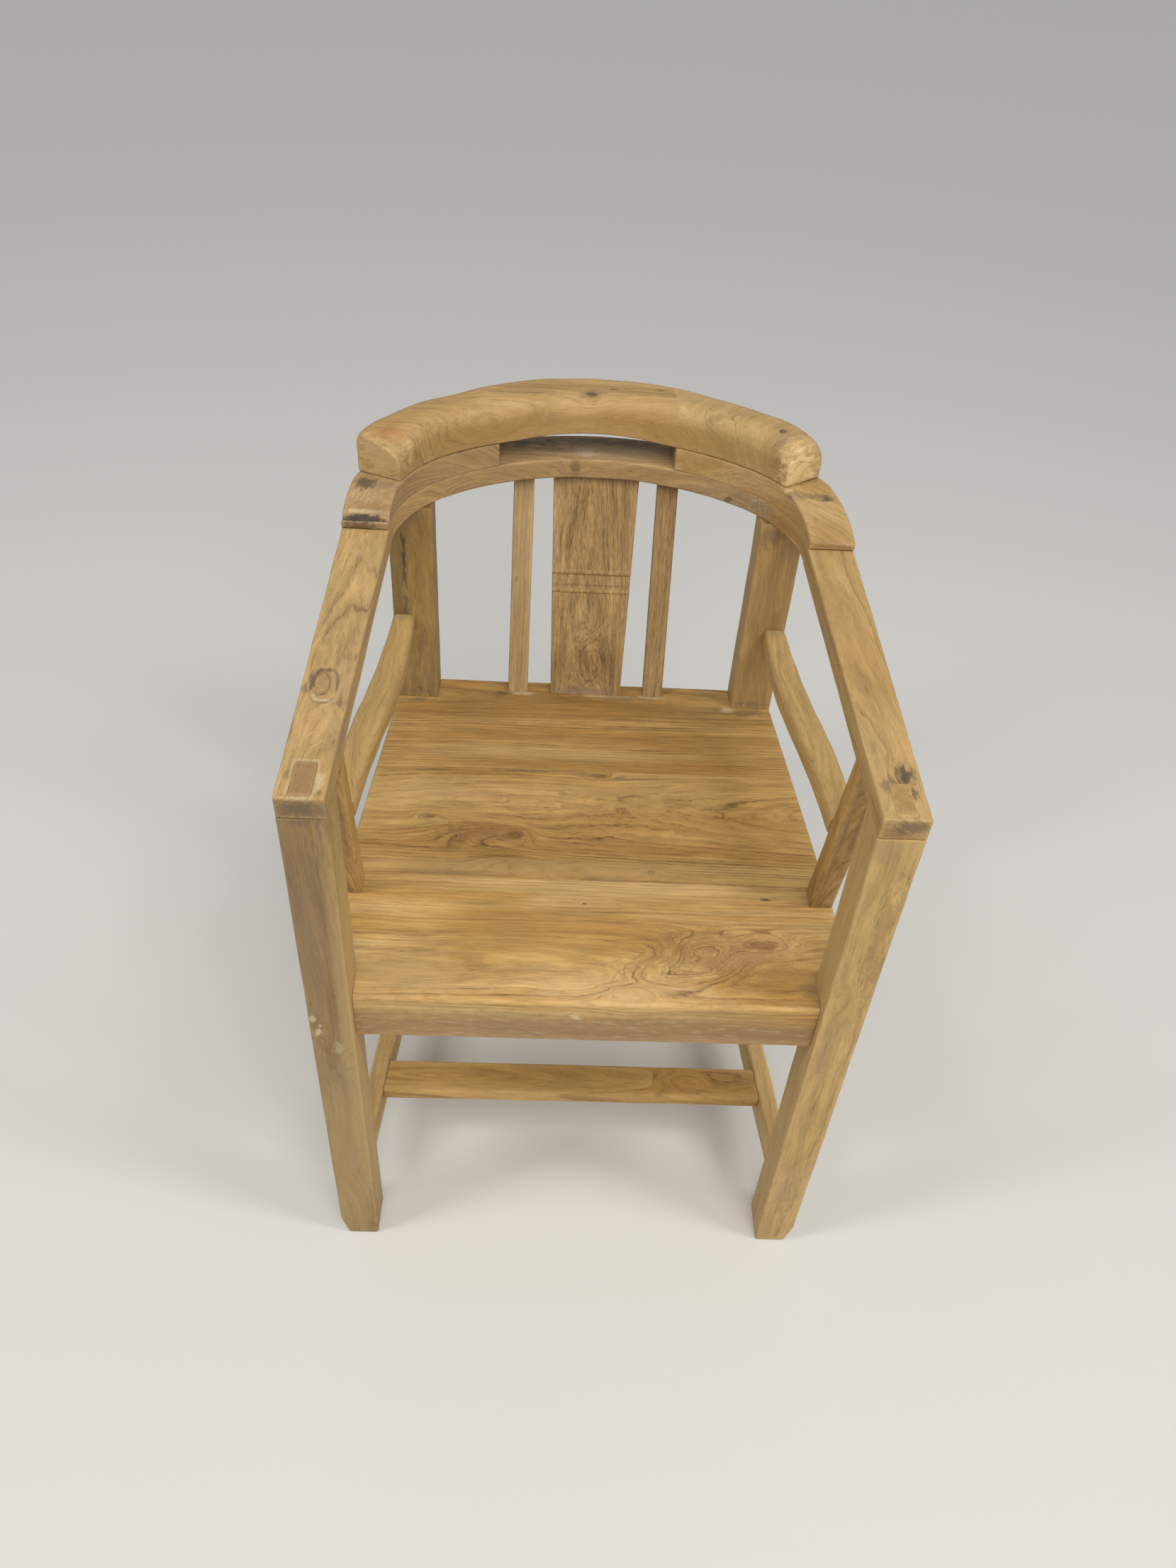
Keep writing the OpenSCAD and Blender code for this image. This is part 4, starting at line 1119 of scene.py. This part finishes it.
def side_stretcher(side, material):
    keys = []
    for d in (LEG_D, POST_D0):
        middle = at(stretcher_x(d), d, STRETCHER_Z - STRETCHER_H / 2)
        keys.append(Key(middle, X * STRETCHER_W, Z * STRETCHER_H, (3.5, 3.5, 3.0, 3.0)))
    piece("stretcher", "side_stretcher", "elm_frame", material, keys, side, n_h=6, seed=59.0 * side)


for side, word, seed in ((-1, "left", 139.0), (1, "right", 149.0)):
    side_stretcher(side, wood(
        "elm_stretcher_" + word, at(side * 250, 290, 96), FORE_AFT, light=(0.6, 0.41, 0.17),
        deep=(0.5, 0.325, 0.12), dark=(0.2, 0.11, 0.045), pith=(side * 40, -30), year=5, wobble=9,
        lines=0.45, grey=0.1, seed=seed,
    ))


def cross_stretcher(material):
    d0, d1 = (v.y - FRONT for v in box_mm("cross_stretcher"))
    low = box_mm("cross_stretcher")[0].z
    keys = []
    for s in (-1, 1):
        ends = [(s * (stretcher_x(d) - STRETCHER_W / 2), d) for d in (d0, d1)]
        keys.append(key_between(*ends, low, STRETCHER_Z, (3.0, 7.0, 5.0, 3.0)))
    piece("stretcher_cross", "cross_stretcher", "elm_frame", material, keys,
          ends=(0.5, 0.5), n_w=8, n_h=4, seed=61.0)


cross_stretcher(wood(
    "elm_stretcher_cross", at(40, 160, STRETCHER_Z), SIDEWAYS, **WARM, pith=(2, -18), lean=0.09,
    year=5.6, wobble=9, lines=0.6, seed=151, knots=[((150, 160, STRETCHER_Z), 14, 16, 0)],
    stains_and_painted_shading=[((-120, 165, STRETCHER_Z), (26, 8, 6), 0.3, BROWN)],
))


# ---- Pieces inside the joints ----

inside = wood("elm_inside", Vector(), SIDEWAYS, **HONEY, seed=157)
for node in ("seat_tongues", "bow_dowels"):
    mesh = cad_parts[node].data
    mesh.materials.clear()
    mesh.materials.append(inside)


# ---- Camera, light and floor ----

# Fitted to the chair's straight edges in the photo. Angles are in radians
F_LENGTH, FRAME_LONG, SENSOR = 1661.0, 2212.0, 36.0
YAW, PITCH, ROLL = 0.0583, 0.725, 0.075
CAMERA_AT = at(-62.1, -751.8, 1452.7)

forward = Vector((sin(YAW) * cos(PITCH), cos(YAW) * cos(PITCH), -sin(PITCH)))
level = Vector((cos(YAW), -sin(YAW), 0))
upward = level.cross(forward)
right = cos(ROLL) * level + sin(ROLL) * upward
up = -sin(ROLL) * level + cos(ROLL) * upward
camera = bpy.data.objects.new("camera", bpy.data.cameras.new("camera"))
scene.collection.objects.link(camera)
camera.data.sensor_width = SENSOR
camera.data.lens = F_LENGTH * SENSOR / FRAME_LONG
camera.data.clip_start, camera.data.clip_end = 0.05, 100
turn = Matrix((right, up, -forward)).transposed().to_4x4()
camera.matrix_world = Matrix.Translation(CAMERA_AT * MM) @ turn
scene.camera = camera

FLOOR_HALF = 20.0
floor_mesh = bpy.data.meshes.new("floor")
corners = [(x * FLOOR_HALF, y * FLOOR_HALF, 0) for x, y in ((-1, -1), (1, -1), (1, 1), (-1, 1))]
floor_mesh.from_pydata(corners, [], [(0, 1, 2, 3)])
floor = bpy.data.objects.new("floor", floor_mesh)
scene.collection.objects.link(floor)
plain = Tree("floor_plain")
floor_shader = plain.nodes.new("ShaderNodeBsdfPrincipled")
floor_shader.inputs["Base Color"].default_value = (0.66, 0.65, 0.62, 1)
floor_shader.inputs["Roughness"].default_value = 0.85
plain.links.new(floor_shader.outputs[0], plain.nodes.new("ShaderNodeOutputMaterial").inputs["Surface"])
floor_mesh.materials.append(plain.material)


def lamp(name, place, target, size, watts, colour=(1.0, 0.975, 0.93)):
    data = bpy.data.lights.new(name, "AREA")
    data.shape, data.size, data.size_y = "RECTANGLE", size[0], size[1]
    data.energy, data.color = watts, colour
    obj = bpy.data.objects.new(name, data)
    scene.collection.objects.link(obj)
    obj.location = place
    obj.rotation_euler = (Vector(target) - Vector(place)).to_track_quat("-Z", "Y").to_euler()


lamp("lamp_left", (-1.8, -0.9, 2.7), (0, 0, 0.4), (0.5, 1.2), 26)
lamp("lamp_right", (1.8, -0.9, 2.7), (0, 0, 0.4), (0.5, 1.2), 26)
lamp("lamp_front", (0.3, -2.6, 2.6), (0, 0, 0.4), (2.0, 1.2), 26)
sky = bpy.data.lights.new("lamp_wide", "SUN")
sky.energy, sky.angle, sky.color = 1.0, radians(45), (1.0, 0.985, 0.95)
sky_lamp = bpy.data.objects.new("lamp_wide", sky)
scene.collection.objects.link(sky_lamp)
sky_lamp.rotation_euler = Vector((-0.15, 0.64, -0.76)).to_track_quat("-Z", "Y").to_euler()
world = bpy.data.worlds.new("studio")
world.use_nodes = True
world.node_tree.nodes["Background"].inputs["Color"].default_value = (0.95, 0.96, 1.0, 1)
world.node_tree.nodes["Background"].inputs["Strength"].default_value = 0.38
scene.world = world
scene.view_settings.view_transform = "Standard"
